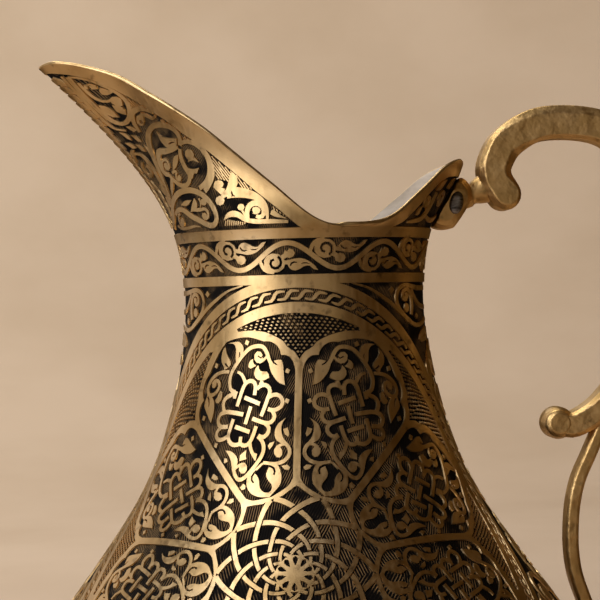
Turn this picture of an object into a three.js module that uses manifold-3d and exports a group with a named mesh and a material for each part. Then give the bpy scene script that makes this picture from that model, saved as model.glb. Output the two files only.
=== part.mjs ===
// A brass jug: a pear body in two shells on a low foot, an open spout and a two-scroll handle.
// Millimetres, the base centre at the origin, +Z up, the spout towards -X, the handle towards +X.
import * as THREE from "three";
import { mergeVertices } from "three/addons/utils/BufferGeometryUtils.js";
import Module from "manifold-3d";

const wasm = await Module();
wasm.setup();

// Sheet and fits.
const wall = 1.2;
const gap = 0.3;
const seamGap = 0.4;
const lapHeight = 4;
const joggleHeight = 2;

// Outside of the body: the radius, the height and how fast the radius grows with height.
const footRadius = 63;
const footWidth = 13;
const baseRadius = footRadius - footWidth;
const baseSlope = 1.7;
const bellyRadius = 81;
const bellyHeight = 50;
const shoulderRadius = 64;
const shoulderHeight = 98.4;
const shoulderSlope = -0.735;
const throatRadius = 47.5;
const throatHeight = 121.8;
const throatSlope = -0.62;
const neckRadius = 37.7;
const neckHeight = 144.1;
const neckSlope = -0.29;
const waistRadius = 32.4;
const waistHeight = 178;
const collarRadius = 34.7;
const collarHeight = 195;
const collarSlope = 0.31;
const seamHeight = 46;

// Foot ring under the curve of the bowl.
const footHeight = 7;
const footBead = 3;
const footStep = 1.6;
const footEdge = 1;

// Rim of the lip by its turn from the spout, in degrees: how far out, how high and how far it leans.
const rim = [
  { turn: 0, radius: 69.8, height: 241.5, lean: 1.05 },
  { turn: 8, radius: 62, height: 240.2, lean: 1 },
  { turn: 17, radius: 52.3, height: 236.3, lean: 0.9 },
  { turn: 27, radius: 46.5, height: 230.8, lean: 0.75 },
  { turn: 35.5, radius: 43, height: 226.4, lean: 0.62 },
  { turn: 46, radius: 39.5, height: 220.9, lean: 0.48 },
  { turn: 57, radius: 36.9, height: 214.6, lean: 0.36 },
  { turn: 72, radius: 35.4, height: 206.6, lean: 0.3 },
  { turn: 90, radius: 35, height: 198.3, lean: 0.3 },
  { turn: 105, radius: 35.3, height: 195.8, lean: 0.35 },
  { turn: 122, radius: 37, height: 197.9, lean: 0.4 },
  { turn: 140, radius: 39, height: 204.9, lean: 0.42 },
  { turn: 155, radius: 41, height: 211.1, lean: 0.44 },
  { turn: 180, radius: 42.7, height: 214.1, lean: 0.44 },
];
const lipStart = 0.25;
const lipEnd = 0.43;

// Pins of the handle: the upper one behind the collar, the lower one behind the belly.
const upperPinReach = 7.3;
const upperPinRise = 6.7;
const lowerPinReach = 3.8;
const lowerPinRise = 14.5;
const upperPin = [collarRadius + upperPinReach, collarHeight + upperPinRise];
const lowerPin = [bellyRadius + lowerPinReach, bellyHeight + lowerPinRise];

// Handle: two scrolls of chamfered bar, as [x, z] along the middle of each bar, measured from a pin.
// The lower scroll's head is measured from the upper pin and its foot from the lower pin. Its middle
// keeps off the body: out from the surface, and up from the belly.
const upperWay = [
  [11.5, 2.7],
  [9.2, 6.8],
  [9.9, 11.4],
  [14.4, 16.9],
  [24.1, 20.9],
  [39, 20],
  [48.3, 14],
  [54.8, 3.3],
  [56.6, -9.8],
  [54.6, -24.6],
  [49.7, -37.9],
  [43.2, -48.6],
  [37.9, -55.2],
  [32.2, -58.8],
  [26.2, -59],
];
const upperHalf = 4.3;
const upperTail = 4;
const upperDepth = 9;
const upperChamfer = 1.4;
const lowerWayHead = [
  [37, -58.7],
  [35.3, -64.6],
  [32.7, -70.7],
  [30, -79.3],
  [28.6, -89.4],
  [29.3, -100.1],
];
const lowerWayMiddle = [
  [6.4, 44.5],
  [4.7, 36.4],
  [5.6, 29],
];
const lowerWayFoot = [
  [1.7, 8.1],
  [7.3, 5.8],
];
const lowerHalf = 2.1;
const lowerTail = 3.4;
const lowerDepth = 6.4;
const lowerChamfer = 0.8;

// Brackets and the tongues that the pins hold, with each point measured from its pin.
const pinRadius = 2.1;
const pinProud = 0.3;
const tongueHalf = 3.3;
const tongueDepth = 4.4;
const stemHalf = 3.3;
const stemDepth = 7;
const bracketDepth = 11;
const bracketChamfer = 1;
const upperStem = [5.2, 2.9];
const upperRoot = [9.4, 5.3];
const upperOutline = [
  [-12, 6.5],
  [-1.4, 7.6],
  [2.6, 6.5],
  [4.4, 3.9],
  [4.6, 0.3],
  [3.6, -2.9],
  [1.4, -5.3],
  [-1.7, -6.4],
  [-12, -5.3],
];
const lowerStem = [1.8, 6.1];
const lowerRoot = [2.8, 7.9];
const lowerOutline = [
  [-12.8, 5.5],
  [-2.8, 5.7],
  [1.6, 4.9],
  [4.2, 2.7],
  [4.8, -0.3],
  [3.8, -3.7],
  [1.4, -6.1],
  [-2.2, -6.9],
  [-12.8, -6.3],
];

// Fineness of the solids.
const sides = 64;
const turnPower = 1.3;
const bodyRows = 15;
const lipRows = 7;
const bowlRows = 9;
const scrollSteps = 34;
const capSteps = 6;
const pinSides = 20;
const probe = 1e-3;
const cutterReach = 200;

const brass = { color: 0xc79a4b, roughness: 0.32, metalness: 1 };
const steel = { color: 0x6d6c6a, roughness: 0.45, metalness: 1 };

// Value and slope at x of a smooth curve through knots of [x, value, slope].
function hermite(knots, x) {
  let i = 0;
  while (i < knots.length - 2 && x > knots[i + 1][0]) i += 1;
  const [x0, v0, m0] = knots[i];
  const [x1, v1, m1] = knots[i + 1];
  const h = x1 - x0;
  const t = (x - x0) / h;
  const rise = (v1 - v0) / h;
  const b = 3 * rise - 2 * m0 - m1;
  const c = m0 + m1 - 2 * rise;
  return {
    value: v0 + h * t * (m0 + t * (b + t * c)),
    slope: m0 + t * (2 * b + 3 * t * c),
  };
}

const bodyKnots = [
  [0, baseRadius, baseSlope],
  [bellyHeight, bellyRadius, 0],
  [shoulderHeight, shoulderRadius, shoulderSlope],
  [throatHeight, throatRadius, throatSlope],
  [neckHeight, neckRadius, neckSlope],
  [waistHeight, waistRadius, 0],
  [collarHeight, collarRadius, collarSlope],
];

// Point of the body's section at height z, moved inwards by a depth along the surface normal.
function section(z, depth) {
  const at = hermite(bodyKnots, z);
  const length = Math.hypot(1, at.slope);
  return new THREE.Vector2(at.value - depth / length, z + (depth * at.slope) / length);
}

// Knots of one column of the rim table, level at the spout and at the back.
function rimKnots(key) {
  return rim.map((knot, i) => {
    const before = rim[i - 1];
    const after = rim[i + 1];
    const slope = before && after ? (after[key] - before[key]) / (after.turn - before.turn) : 0;
    return [knot.turn, knot[key], slope];
  });
}
const rimRadius = rimKnots("radius");
const rimHeight = rimKnots("height");
const rimLean = rimKnots("lean");

// Point of the lip at a turn and a share of the way from the collar up to the rim.
function lipSection(turn, share) {
  const radius = hermite(rimRadius, turn).value;
  const height = hermite(rimHeight, turn).value;
  const lean = hermite(rimLean, turn).value;
  const start = new THREE.Vector2(collarRadius, collarHeight);
  const end = new THREE.Vector2(radius, height);
  const chord = start.distanceTo(end);
  const leave = new THREE.Vector2(collarSlope, 1).setLength(chord * lipStart).add(start);
  const arrive = new THREE.Vector2(-lean, -1).setLength(chord * lipEnd).add(end);
  return new THREE.CubicBezierCurve(start, leave, arrive, end).getPoint(share);
}

// Point of the upper shell's outside: level runs 0 to 1 up the body, then 1 to 2 up the lip.
function shellPoint(side, level) {
  const turn = 180 * Math.abs(side) ** turnPower;
  const z = THREE.MathUtils.lerp(seamHeight + gap, collarHeight, Math.min(level, 1));
  const at = level > 1 ? lipSection(turn, level - 1) : section(z, 0);
  const angle = Math.PI + Math.sign(side) * THREE.MathUtils.degToRad(turn);
  return new THREE.Vector3(at.x * Math.cos(angle), at.x * Math.sin(angle), at.y);
}

function shellNormal(side, level) {
  const up = shellPoint(side, Math.min(level + probe, 2));
  up.sub(shellPoint(side, Math.max(level - probe, 0)));
  const round = shellPoint(side + probe, level).sub(shellPoint(side - probe, level));
  return round.cross(up).normalize();
}

// Rows of points round the upper shell at a depth below its outside.
function shellRow(level, depth) {
  return Array.from({ length: sides }, (_, i) => {
    const side = (2 * i) / sides - 1;
    return shellPoint(side, level).addScaledVector(shellNormal(side, level), -depth);
  });
}

const shellLevels = [
  ...Array.from({ length: bodyRows }, (_, i) => i / bodyRows),
  ...Array.from({ length: lipRows + 1 }, (_, i) => 1 + i / lipRows),
];

// Closed skin over rows of points that follow each other round a ring.
function skinRows(rows) {
  const points = rows.flat().flatMap((p) => [p.x, p.y, p.z]);
  const faces = [];
  const across = rows[0].length;
  rows.forEach((row, j) => {
    const next = (j + 1) % rows.length;
    row.forEach((_, i) => {
      const beside = (i + 1) % across;
      const corner = [j * across + i, j * across + beside, next * across + beside, next * across + i];
      faces.push(corner[0], corner[1], corner[2], corner[0], corner[2], corner[3]);
    });
  });
  const geometry = new THREE.BufferGeometry();
  geometry.setAttribute("position", new THREE.Float32BufferAttribute(points, 3));
  geometry.setIndex(faces);
  return geometry;
}

function solid(geometry) {
  const bare = geometry.clone();
  bare.deleteAttribute("normal");
  bare.deleteAttribute("uv");
  const merged = mergeVertices(bare);
  const vertProperties = merged.attributes.position.array;
  const triVerts = new Uint32Array(merged.index.array);
  return new wasm.Manifold(new wasm.Mesh({ numProp: 3, vertProperties, triVerts }));
}

function geometryOf(body) {
  const mesh = body.getMesh();
  const geometry = new THREE.BufferGeometry();
  geometry.setAttribute("position", new THREE.BufferAttribute(mesh.vertProperties, 3));
  geometry.setIndex(new THREE.BufferAttribute(mesh.triVerts, 1));
  return geometry;
}

// Flat shape in the XZ plane, thickened evenly to both sides of it.
function plate(points, depth, chamfer) {
  const shape = new THREE.Shape(points);
  const geometry = new THREE.ExtrudeGeometry(shape, {
    depth: depth - 2 * chamfer,
    bevelEnabled: chamfer > 0,
    bevelThickness: chamfer,
    bevelSize: chamfer,
    bevelOffset: -chamfer,
    bevelSegments: 1,
  });
  geometry.translate(0, 0, chamfer - depth / 2);
  return geometry.rotateX(Math.PI / 2);
}

// Outline of a bar with round ends along a way, its half width running from first to last.
function barOutline(way, first, last, steps) {
  const line = new THREE.SplineCurve(way.map(([x, z]) => new THREE.Vector2(x, z)));
  const left = [];
  const right = [];
  for (let i = 0; i <= steps; i += 1) {
    const half = THREE.MathUtils.lerp(first, last, i / steps);
    const point = line.getPointAt(i / steps);
    const along = line.getTangentAt(i / steps);
    left.push(new THREE.Vector2(point.x - along.y * half, point.y + along.x * half));
    right.unshift(new THREE.Vector2(point.x + along.y * half, point.y - along.x * half));
  }
  const cap = (share, from) => {
    const middle = line.getPointAt(share);
    return Array.from({ length: capSteps - 1 }, (_, i) => {
      const turn = (-Math.PI * (i + 1)) / capSteps;
      return from.clone().rotateAround(middle, turn);
    });
  };
  return [...left, ...cap(1, left.at(-1)), ...right, ...cap(0, right.at(-1))];
}

// Points measured from a pin, moved to where that pin is.
function fromPin(points, [x, z]) {
  return points.map(([dx, dz]) => [x + dx, z + dz]);
}
const upperLine = fromPin(upperWay, upperPin);
const lowerLine = [
  ...fromPin(lowerWayHead, upperPin),
  ...lowerWayMiddle.map(([out, rise]) => [section(bellyHeight + rise, 0).x + out, bellyHeight + rise]),
  ...fromPin(lowerWayFoot, lowerPin),
];
const upperBar = barOutline(upperLine, upperHalf, upperTail, scrollSteps);
const lowerBar = barOutline(lowerLine, lowerHalf, lowerTail, scrollSteps);

function pinSolid([x, z], radius, length) {
  const cylinder = new THREE.CylinderGeometry(radius, radius, length, pinSides);
  return solid(cylinder.translate(x, 0, z));
}

// Straight bar between points of the XZ plane, for a tongue or the room that it needs.
function link(from, to, half, depth) {
  return solid(plate(barOutline([from, to], half, half, 1), depth, 0));
}

// One scroll with its stem and its drilled tongue.
function scroll(outline, depth, chamfer, pin, ends) {
  const [stem, root] = fromPin(ends, pin);
  return solid(plate(outline, depth, chamfer))
    .add(link(stem, root, stemHalf, stemDepth))
    .add(link(pin, root, tongueHalf, tongueDepth))
    .subtract(pinSolid(pin, pinRadius + gap, cutterReach));
}

// Outside of the upper shell grown by the gap and closed, to hollow the brackets' backs.
const shellOutside = shellLevels.map((level) => shellRow(level, -gap));
const floorRow = shellOutside[0].map(() => new THREE.Vector3(0, 0, seamHeight));
const roofRow = shellOutside[0].map(() => new THREE.Vector3(0, 0, collarHeight));
const bodyCutter = solid(skinRows([floorRow, ...shellOutside, roofRow]));

function bracket(outline, pin, ends) {
  const [stem, root] = fromPin(ends, pin);
  const points = fromPin(outline, pin).map(([x, z]) => new THREE.Vector2(x, z));
  return solid(plate(points, bracketDepth, bracketChamfer))
    .subtract(bodyCutter)
    .subtract(link(pin, root, tongueHalf + gap, tongueDepth + 2 * gap))
    .subtract(link(stem, root, stemHalf + gap, stemDepth + 2 * gap))
    .subtract(pinSolid(pin, pinRadius + gap, cutterReach));
}

// Lower bowl, with a lip set in to go behind the upper shell's edge.
const lapDepth = wall + seamGap;
const bowlLevels = Array.from({ length: bowlRows + 1 }, (_, i) => (seamHeight * i) / bowlRows);
const lapTop = seamHeight + lapHeight;
const bowlFloor = section(0, wall).x - wall * baseSlope;
const bowlInside = bowlLevels
  .map((z) => section(z, wall))
  .filter((p) => p.y > wall && p.y < seamHeight - joggleHeight);
const bowlProfile = [
  new THREE.Vector2(0, 0),
  ...bowlLevels.map((z) => section(z, 0)),
  section(seamHeight, lapDepth),
  section(lapTop, lapDepth),
  section(lapTop, lapDepth + wall),
  section(seamHeight, lapDepth + wall),
  ...bowlInside.reverse(),
  new THREE.Vector2(bowlFloor, wall),
  new THREE.Vector2(0, wall),
];

// Foot ring, filling the corner between the table and the bowl.
const footFloor = section(0, -gap);
const footMiddle = section(footHeight / 2, -gap);
const footTop = section(footHeight, -gap);
const footProfile = [
  new THREE.Vector2(footFloor.x, 0),
  new THREE.Vector2(footRadius - footEdge, 0),
  new THREE.Vector2(footRadius, footEdge),
  new THREE.Vector2(footRadius, footBead),
  new THREE.Vector2(footRadius - footStep, footBead + footEdge),
  new THREE.Vector2(Math.max(footRadius - footStep, footTop.x), footHeight - footEdge),
  footTop,
  footMiddle,
  new THREE.Vector2(footFloor.x, 0),
];

const upperShell = skinRows([
  ...shellLevels.map((level) => shellRow(level, 0)),
  ...shellLevels.map((level) => shellRow(level, wall)).reverse(),
]);
const upperEnds = [upperStem, upperRoot];
const lowerEnds = [lowerStem, lowerRoot];
const upperScroll = scroll(upperBar, upperDepth, upperChamfer, upperPin, upperEnds);
const upperRoom = barOutline(upperLine, upperHalf + gap, upperTail + gap, scrollSteps);
const lowerScroll = scroll(lowerBar, lowerDepth, lowerChamfer, lowerPin, lowerEnds);
const pinLength = bracketDepth + 2 * pinProud;

const jug = new THREE.Group();

function place(name, geometry, look) {
  geometry.computeVertexNormals();
  const mesh = new THREE.Mesh(geometry, new THREE.MeshStandardMaterial(look));
  mesh.name = name;
  jug.add(mesh);
}

function lathe(profile) {
  return new THREE.LatheGeometry(profile, sides).rotateX(Math.PI / 2);
}

place("lower_bowl", lathe(bowlProfile), brass);
place("foot_ring", lathe(footProfile), brass);
place("upper_body", upperShell, brass);
place("upper_bracket", geometryOf(bracket(upperOutline, upperPin, upperEnds)), brass);
place("lower_bracket", geometryOf(bracket(lowerOutline, lowerPin, lowerEnds)), brass);
place("upper_pin", geometryOf(pinSolid(upperPin, pinRadius, pinLength)), steel);
place("lower_pin", geometryOf(pinSolid(lowerPin, pinRadius, pinLength)), steel);
place("handle_upper_scroll", geometryOf(upperScroll), brass);
place(
  "handle_lower_scroll",
  geometryOf(lowerScroll.subtract(solid(plate(upperRoom, bracketDepth, 0)))),
  brass,
);

export default jug;
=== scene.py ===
import math
import bmesh
import bpy
import numpy as np
from mathutils import Matrix, Vector
from mathutils.geometry import delaunay_2d_cdt


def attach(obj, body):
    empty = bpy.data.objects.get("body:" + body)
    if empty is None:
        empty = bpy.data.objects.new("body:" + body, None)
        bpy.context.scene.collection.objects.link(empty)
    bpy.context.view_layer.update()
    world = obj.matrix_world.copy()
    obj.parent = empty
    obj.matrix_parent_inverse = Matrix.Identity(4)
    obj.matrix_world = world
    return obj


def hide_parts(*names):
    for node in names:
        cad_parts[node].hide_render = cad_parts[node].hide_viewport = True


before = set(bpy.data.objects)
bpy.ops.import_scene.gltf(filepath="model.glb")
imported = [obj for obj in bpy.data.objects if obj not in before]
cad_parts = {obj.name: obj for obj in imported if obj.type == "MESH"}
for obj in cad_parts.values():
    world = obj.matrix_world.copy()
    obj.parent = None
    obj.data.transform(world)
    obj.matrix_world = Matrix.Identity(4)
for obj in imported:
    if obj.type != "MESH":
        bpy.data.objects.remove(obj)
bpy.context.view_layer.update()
mm = 0.001  # sizes below are in millimetres, the scene is in metres
print("frame loaded")

# Body of the jug, as in the solids.
body = {
    "wall": 1.2,
    "relief": 0.4,  # how far the dark ground lies below the brass
    "seam": 46.3,
    "collar": 195.0,
    "knots": [  # height, radius, growth of the radius with height
        (0, 50, 1.7),
        (50, 81, 0),
        (98.4, 64, -0.735),
        (121.8, 47.5, -0.62),
        (144.1, 37.7, -0.29),
        (178, 32.4, 0),
        (195, 34.7, 0.31),
    ],
    "columns": 288,
    "rows": 110,
    "lipRows": 36,
}

# Rim of the lip: turn from the spout in degrees, how far out, how high, how far it leans.
lip = {
    "rim": [
        (0, 69.8, 240.3, 1.05),
        (5, 66.3, 241, 1.02),
        (9, 60.9, 239.9, 1),
        (17, 52.3, 236.3, 0.9),
        (27, 46.5, 230.8, 0.75),
        (35.5, 43, 226.4, 0.62),
        (46, 39.5, 220.9, 0.48),
        (57, 36.9, 214.6, 0.36),
        (72, 35.4, 206.6, 0.3),
        (90, 35, 197.6, 0.3),
        (105, 35.1, 195.15, 0.32),
        (122, 36.6, 197, 0.4),
        (140, 38.6, 204.7, 0.42),
        (155, 41, 211, 0.4),
        (170, 43.4, 213.4, 0.34),
        (180, 44.1, 212.4, 0.3),
    ],
    "leave": 0.25,
    "arrive": 0.43,
    "turnPower": 1.3,
    "round": 0.5,
    "roundSteps": 9,
}


def hermite(knots, x):
    k = np.asarray(knots, float)
    x = np.asarray(x, float)
    i = np.clip(np.searchsorted(k[:, 0], x) - 1, 0, len(k) - 2)
    h = k[i + 1, 0] - k[i, 0]
    t = (x - k[i, 0]) / h
    rise = (k[i + 1, 1] - k[i, 1]) / h
    m0, m1 = k[i, 2], k[i + 1, 2]
    b = 3 * rise - 2 * m0 - m1
    c = m0 + m1 - 2 * rise
    return k[i, 1] + h * t * (m0 + t * (b + t * c)), m0 + t * (2 * b + 3 * t * c)


def rimKnots(column):
    rows = lip["rim"]
    knots = []
    for i, row in enumerate(rows):
        inner = 0 < i < len(rows) - 1
        run = rows[i + 1][0] - rows[i - 1][0] if inner else 1
        slope = (rows[i + 1][column] - rows[i - 1][column]) / run if inner else 0
        knots.append((row[0], row[column], slope))
    return knots


rimRadius, rimHeight, rimLean = rimKnots(1), rimKnots(2), rimKnots(3)
collarRadius, collarSlope = body["knots"][-1][1:]


# Outside of the body: angle round the axis, height and depth below the surface.
def bodyPoint(angle, z, depth):
    r, slope = hermite(body["knots"], z)
    length = np.hypot(1, slope)
    c, s = np.cos(angle), np.sin(angle)
    normal = np.stack([c / length, s / length, -slope / length], -1)
    return np.stack([r * c, r * s, z + 0 * r], -1) - normal * np.expand_dims(depth, -1), normal


# Outside of the lip: turn from the spout (negative for the far side) and share of the way to the rim.
def lipSpot(turn, share):
    a = np.abs(turn)
    end = np.stack([hermite(rimRadius, a)[0], hermite(rimHeight, a)[0]], -1)
    lean = np.stack([hermite(rimLean, a)[0], np.ones_like(a)], -1)
    start = np.array([collarRadius, body["collar"]])
    chord = np.linalg.norm(end - start, axis=-1, keepdims=True)
    out = np.array([collarSlope, 1]) / math.hypot(collarSlope, 1)
    b = start + out * chord * lip["leave"]
    c = end - lean / np.linalg.norm(lean, axis=-1, keepdims=True) * chord * lip["arrive"]
    t = np.expand_dims(share, -1)
    p = start * (1 - t) ** 3 + 3 * b * t * (1 - t) ** 2 + 3 * c * t * t * (1 - t) + end * t**3
    angle = math.pi + np.radians(turn)
    return np.stack([p[..., 0] * np.cos(angle), p[..., 0] * np.sin(angle), p[..., 1]], -1)


def lipPoint(turn, share, depth):
    turn = np.asarray(turn, float)
    share = np.asarray(share, float)
    step = 1e-3
    low, high = np.clip(share - step, 0, 1), np.clip(share + step, 0, 1)
    up = lipSpot(turn, high) - lipSpot(turn, low)
    round_ = lipSpot(turn + step, share) - lipSpot(turn - step, share)
    normal = np.cross(round_, up)
    normal /= np.linalg.norm(normal, axis=-1, keepdims=True)
    return lipSpot(turn, share) - normal * np.expand_dims(depth, -1), normal


print("surfaces ready")


# Finishes. Each is a small node tree on Object coordinates.
def newMaterial(name):
    material = bpy.data.materials.new(name)
    material.use_nodes = True
    tree = material.node_tree
    return material, tree, tree.nodes["Principled BSDF"]


def addNode(tree, kind, **settings):
    node = tree.nodes.new(kind)
    for key, value in settings.items():
        if hasattr(node, key):
            setattr(node, key, value)
        else:
            node.inputs[key].default_value = value
    return node


def noiseOn(tree, coords, scale, detail=4.0, stretch=(1, 1, 1)):
    mapping = addNode(tree, "ShaderNodeMapping")
    mapping.inputs["Scale"].default_value = stretch
    noise = addNode(tree, "ShaderNodeTexNoise")
    noise.inputs["Scale"].default_value = scale
    noise.inputs["Detail"].default_value = detail
    tree.links.new(coords.outputs["Object"], mapping.inputs["Vector"])
    tree.links.new(mapping.outputs["Vector"], noise.inputs["Vector"])
    return noise.outputs["Fac"]


def rampOn(tree, factor, stops):
    ramp = addNode(tree, "ShaderNodeValToRGB")
    while len(ramp.color_ramp.elements) < len(stops):
        ramp.color_ramp.elements.new(0.5)
    for element, (place, colour) in zip(ramp.color_ramp.elements, stops):
        element.position = place
        element.color = (*colour, 1)
    tree.links.new(factor, ramp.inputs["Fac"])
    return ramp.outputs["Color"]


def rangeOn(tree, value, low, high, fromLow=0.3, fromHigh=0.7):
    node = addNode(tree, "ShaderNodeMapRange")
    for key, number in (("From Min", fromLow), ("From Max", fromHigh), ("To Min", low), ("To Max", high)):
        node.inputs[key].default_value = number
    tree.links.new(value, node.inputs["Value"])
    return node.outputs["Result"]


# Bump from a height, on top of another bump where one is given.
def bumpOn(tree, height, strength, distance, under=None):
    bump = addNode(tree, "ShaderNodeBump")
    bump.inputs["Strength"].default_value = strength
    bump.inputs["Distance"].default_value = distance
    tree.links.new(height, bump.inputs["Height"])
    if under is not None:
        tree.links.new(under, bump.inputs["Normal"])
    return bump.outputs["Normal"]


brassLook = {
    "sheet": [(0.41, 0.25, 0.09), (0.605, 0.398, 0.168), (0.69, 0.49, 0.245)],  # deep, middling and pale
    "cast": [(0.45, 0.265, 0.085), (0.65, 0.405, 0.148), (0.75, 0.50, 0.215)],
    "roughLow": 0.29,
    "roughHigh": 0.44,
    "stain": (0.13, 0.075, 0.03),
    "clouds": 70.0,
    "spots": 330.0,
    "lumps": 210.0,
    "lumpBump": 0.6,
    "scratches": 900.0,
    "scratchBump": (0.25, 0.00006),  # strength, depth in metres
    "tonesAt": (0.28, 0.5, 0.74),
    "stainsAt": (0.6, 0.74),
}


# Brass with cloudy colour, a few brown stains, fine scratches and, on castings, file marks.
def brassMaterial(name, tones, stretch, stained, dull=0.0, filed=0.0):
    material, tree, shader = newMaterial(name)
    coords = addNode(tree, "ShaderNodeTexCoord")
    clouds = noiseOn(tree, coords, brassLook["clouds"], 6)
    scratches = noiseOn(tree, coords, brassLook["scratches"], 3, stretch)
    stops = list(zip(brassLook["tonesAt"], brassLook[tones]))
    stains = addNode(tree, "ShaderNodeMixRGB")
    stains.inputs["Color2"].default_value = (*brassLook["stain"], 1)
    tree.links.new(rampOn(tree, clouds, stops), stains.inputs["Color1"])
    spots = noiseOn(tree, coords, brassLook["spots"], 5)
    tree.links.new(rangeOn(tree, spots, 0.0, stained, *brassLook["stainsAt"]), stains.inputs["Fac"])
    tree.links.new(stains.outputs["Color"], shader.inputs["Base Color"])
    shader.inputs["Metallic"].default_value = 1
    rough = rangeOn(tree, scratches, brassLook["roughLow"] + dull, brassLook["roughHigh"] + dull)
    tree.links.new(rough, shader.inputs["Roughness"])
    normal = bumpOn(tree, scratches, *brassLook["scratchBump"])
    if filed:
        lumps = noiseOn(tree, coords, brassLook["lumps"], 3)
        normal = bumpOn(tree, lumps, brassLook["lumpBump"], filed, normal)
    tree.links.new(normal, shader.inputs["Normal"])
    return material


groundLook = {
    "dark": (0.004, 0.003, 0.002),
    "soot": (0.014, 0.009, 0.005),
    "bare": (0.22, 0.132, 0.05),
    "round": 48.0,  # radius at which the hatching is laid out
    "patch": 80.0,  # patches of hatching per metre
    "hatch": 480.0,  # bands of the hatching
    "fade": 160.0,  # spots where the hatching is worn or filled with black
    "lean": 0.75,  # how far the patches turn against each other
    "bump": (0.5, 0.00008),
    "waver": 1.2,  # how unsteady the cuts are
    "worn": (0.5, 1.0, 0.4, 0.6),  # least and full strength of the cuts, and the noise that gives them
    "tonesAt": (0.4, 0.66, 0.92),
    "metallic": 0.1,
    "specular": 0.06,
    "rough": (0.85, 0.5),
}


# Blackened ground, hatched by a graver in patches of changing direction.
def groundMaterial():
    material, tree, shader = newMaterial("blackenedGround")
    coords = addNode(tree, "ShaderNodeUVMap", uv_map="groundMap")
    patches = addNode(tree, "ShaderNodeTexVoronoi", voronoi_dimensions="2D")
    patches.inputs["Scale"].default_value = groundLook["patch"]
    lean = addNode(tree, "ShaderNodeSeparateColor")
    turn = addNode(tree, "ShaderNodeVectorRotate", rotation_type="Z_AXIS")
    wave = addNode(tree, "ShaderNodeTexWave", bands_direction="X")
    wave.inputs["Scale"].default_value = groundLook["hatch"]
    wave.inputs["Distortion"].default_value = groundLook["waver"]
    wave.inputs["Detail"].default_value = 1.0
    links = tree.links
    links.new(coords.outputs["UV"], patches.inputs["Vector"])
    links.new(patches.outputs["Color"], lean.inputs["Color"])
    angle = rangeOn(tree, lean.outputs["Red"], -groundLook["lean"], groundLook["lean"], 0, 1)
    links.new(angle, turn.inputs["Angle"])
    links.new(coords.outputs["UV"], turn.inputs["Vector"])
    links.new(turn.outputs["Vector"], wave.inputs["Vector"])
    worn = noiseOn(tree, addNode(tree, "ShaderNodeTexCoord"), groundLook["fade"], 3)
    strength = rangeOn(tree, worn, *groundLook["worn"])
    cut = addNode(tree, "ShaderNodeMath", operation="MULTIPLY")
    links.new(wave.outputs["Fac"], cut.inputs[0])
    links.new(strength, cut.inputs[1])
    stops = list(zip(groundLook["tonesAt"], (groundLook["dark"], groundLook["soot"], groundLook["bare"])))
    links.new(rampOn(tree, cut.outputs["Value"], stops), shader.inputs["Base Color"])
    shader.inputs["Metallic"].default_value = groundLook["metallic"]
    shader.inputs["Specular IOR Level"].default_value = groundLook["specular"]
    links.new(rangeOn(tree, cut.outputs["Value"], *groundLook["rough"], 0, 1), shader.inputs["Roughness"])
    links.new(bumpOn(tree, cut.outputs["Value"], *groundLook["bump"]), shader.inputs["Normal"])
    return material


tinLook = {
    "tones": [(0.3, (0.46, 0.38, 0.28)), (0.62, (0.86, 0.76, 0.62))],  # noise, colour
    "grain": 60.0,
    "detail": 6,
    "stretch": (1, 1, 3),
    "metallic": 0.9,
    "rough": (0.5, 0.3),
    "bump": (0.2, 0.0002),
}
steelLook = {
    "tones": [(0.32, (0.05, 0.043, 0.038)), (0.66, (0.31, 0.28, 0.255))],
    "grain": 420.0,
    "detail": 5,
    "stretch": (1, 1, 4),
    "metallic": 1,
    "rough": (0.5, 0.28),
    "bump": (0.4, 0.0001),
}


# Tin or steel: two tones in a stretched grain, rougher where it is dark.
def greyMetal(name, look):
    material, tree, shader = newMaterial(name)
    coords = addNode(tree, "ShaderNodeTexCoord")
    grain = noiseOn(tree, coords, look["grain"], look["detail"], look["stretch"])
    tree.links.new(rampOn(tree, grain, look["tones"]), shader.inputs["Base Color"])
    shader.inputs["Metallic"].default_value = look["metallic"]
    tree.links.new(rangeOn(tree, grain, *look["rough"]), shader.inputs["Roughness"])
    tree.links.new(bumpOn(tree, grain, *look["bump"]), shader.inputs["Normal"])
    return material


engravedBrass = brassMaterial("engravedBrass", "sheet", (1, 1, 0.12), 0.7)
castBrass = brassMaterial("castBrass", "cast", (0.35, 1, 0.35), 0.45, 0.08, 0.0011)
darkGround = groundMaterial()
tin = greyMetal("tinnedInside", tinLook)
steel = greyMetal("cutSteel", steelLook)
print("finishes ready")


# Mesh from points in millimetres, with a material number for each face where there are several.
def makePiece(name, points, faces, materials, faceMaterials=None):
    mesh = bpy.data.meshes.new(name)
    mesh.from_pydata((np.asarray(points) * mm).tolist(), [], faces)
    for material in materials:
        mesh.materials.append(material)
    if faceMaterials is not None:
        mesh.polygons.foreach_set("material_index", np.asarray(faceMaterials, np.int32))
    mesh.polygons.foreach_set("use_smooth", np.ones(len(mesh.polygons), bool))
    piece = bpy.data.objects.new(name, mesh)
    bpy.context.scene.collection.objects.link(piece)
    return piece


# Lays the ground's hatching out round the axis and up the height, in metres.
def mapGround(piece):
    mesh = piece.data
    spots = np.empty(len(mesh.vertices) * 3, np.float32)
    corner = np.empty(len(mesh.loops), np.int32)
    totals = np.empty(len(mesh.polygons), np.int32)
    mesh.vertices.foreach_get("co", spots)
    mesh.loops.foreach_get("vertex_index", corner)
    mesh.polygons.foreach_get("loop_total", totals)
    x, y, z = spots.reshape(-1, 3)[corner].T
    angle = np.arctan2(y, x)
    first = np.repeat(angle[np.cumsum(totals) - totals], totals)
    angle = first + (angle - first + math.pi) % (2 * math.pi) - math.pi
    flat = np.stack([angle * groundLook["round"] * mm, z], -1)
    mesh.uv_layers.new(name="groundMap").data.foreach_set("uv", flat.astype(np.float32).ravel())


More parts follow.
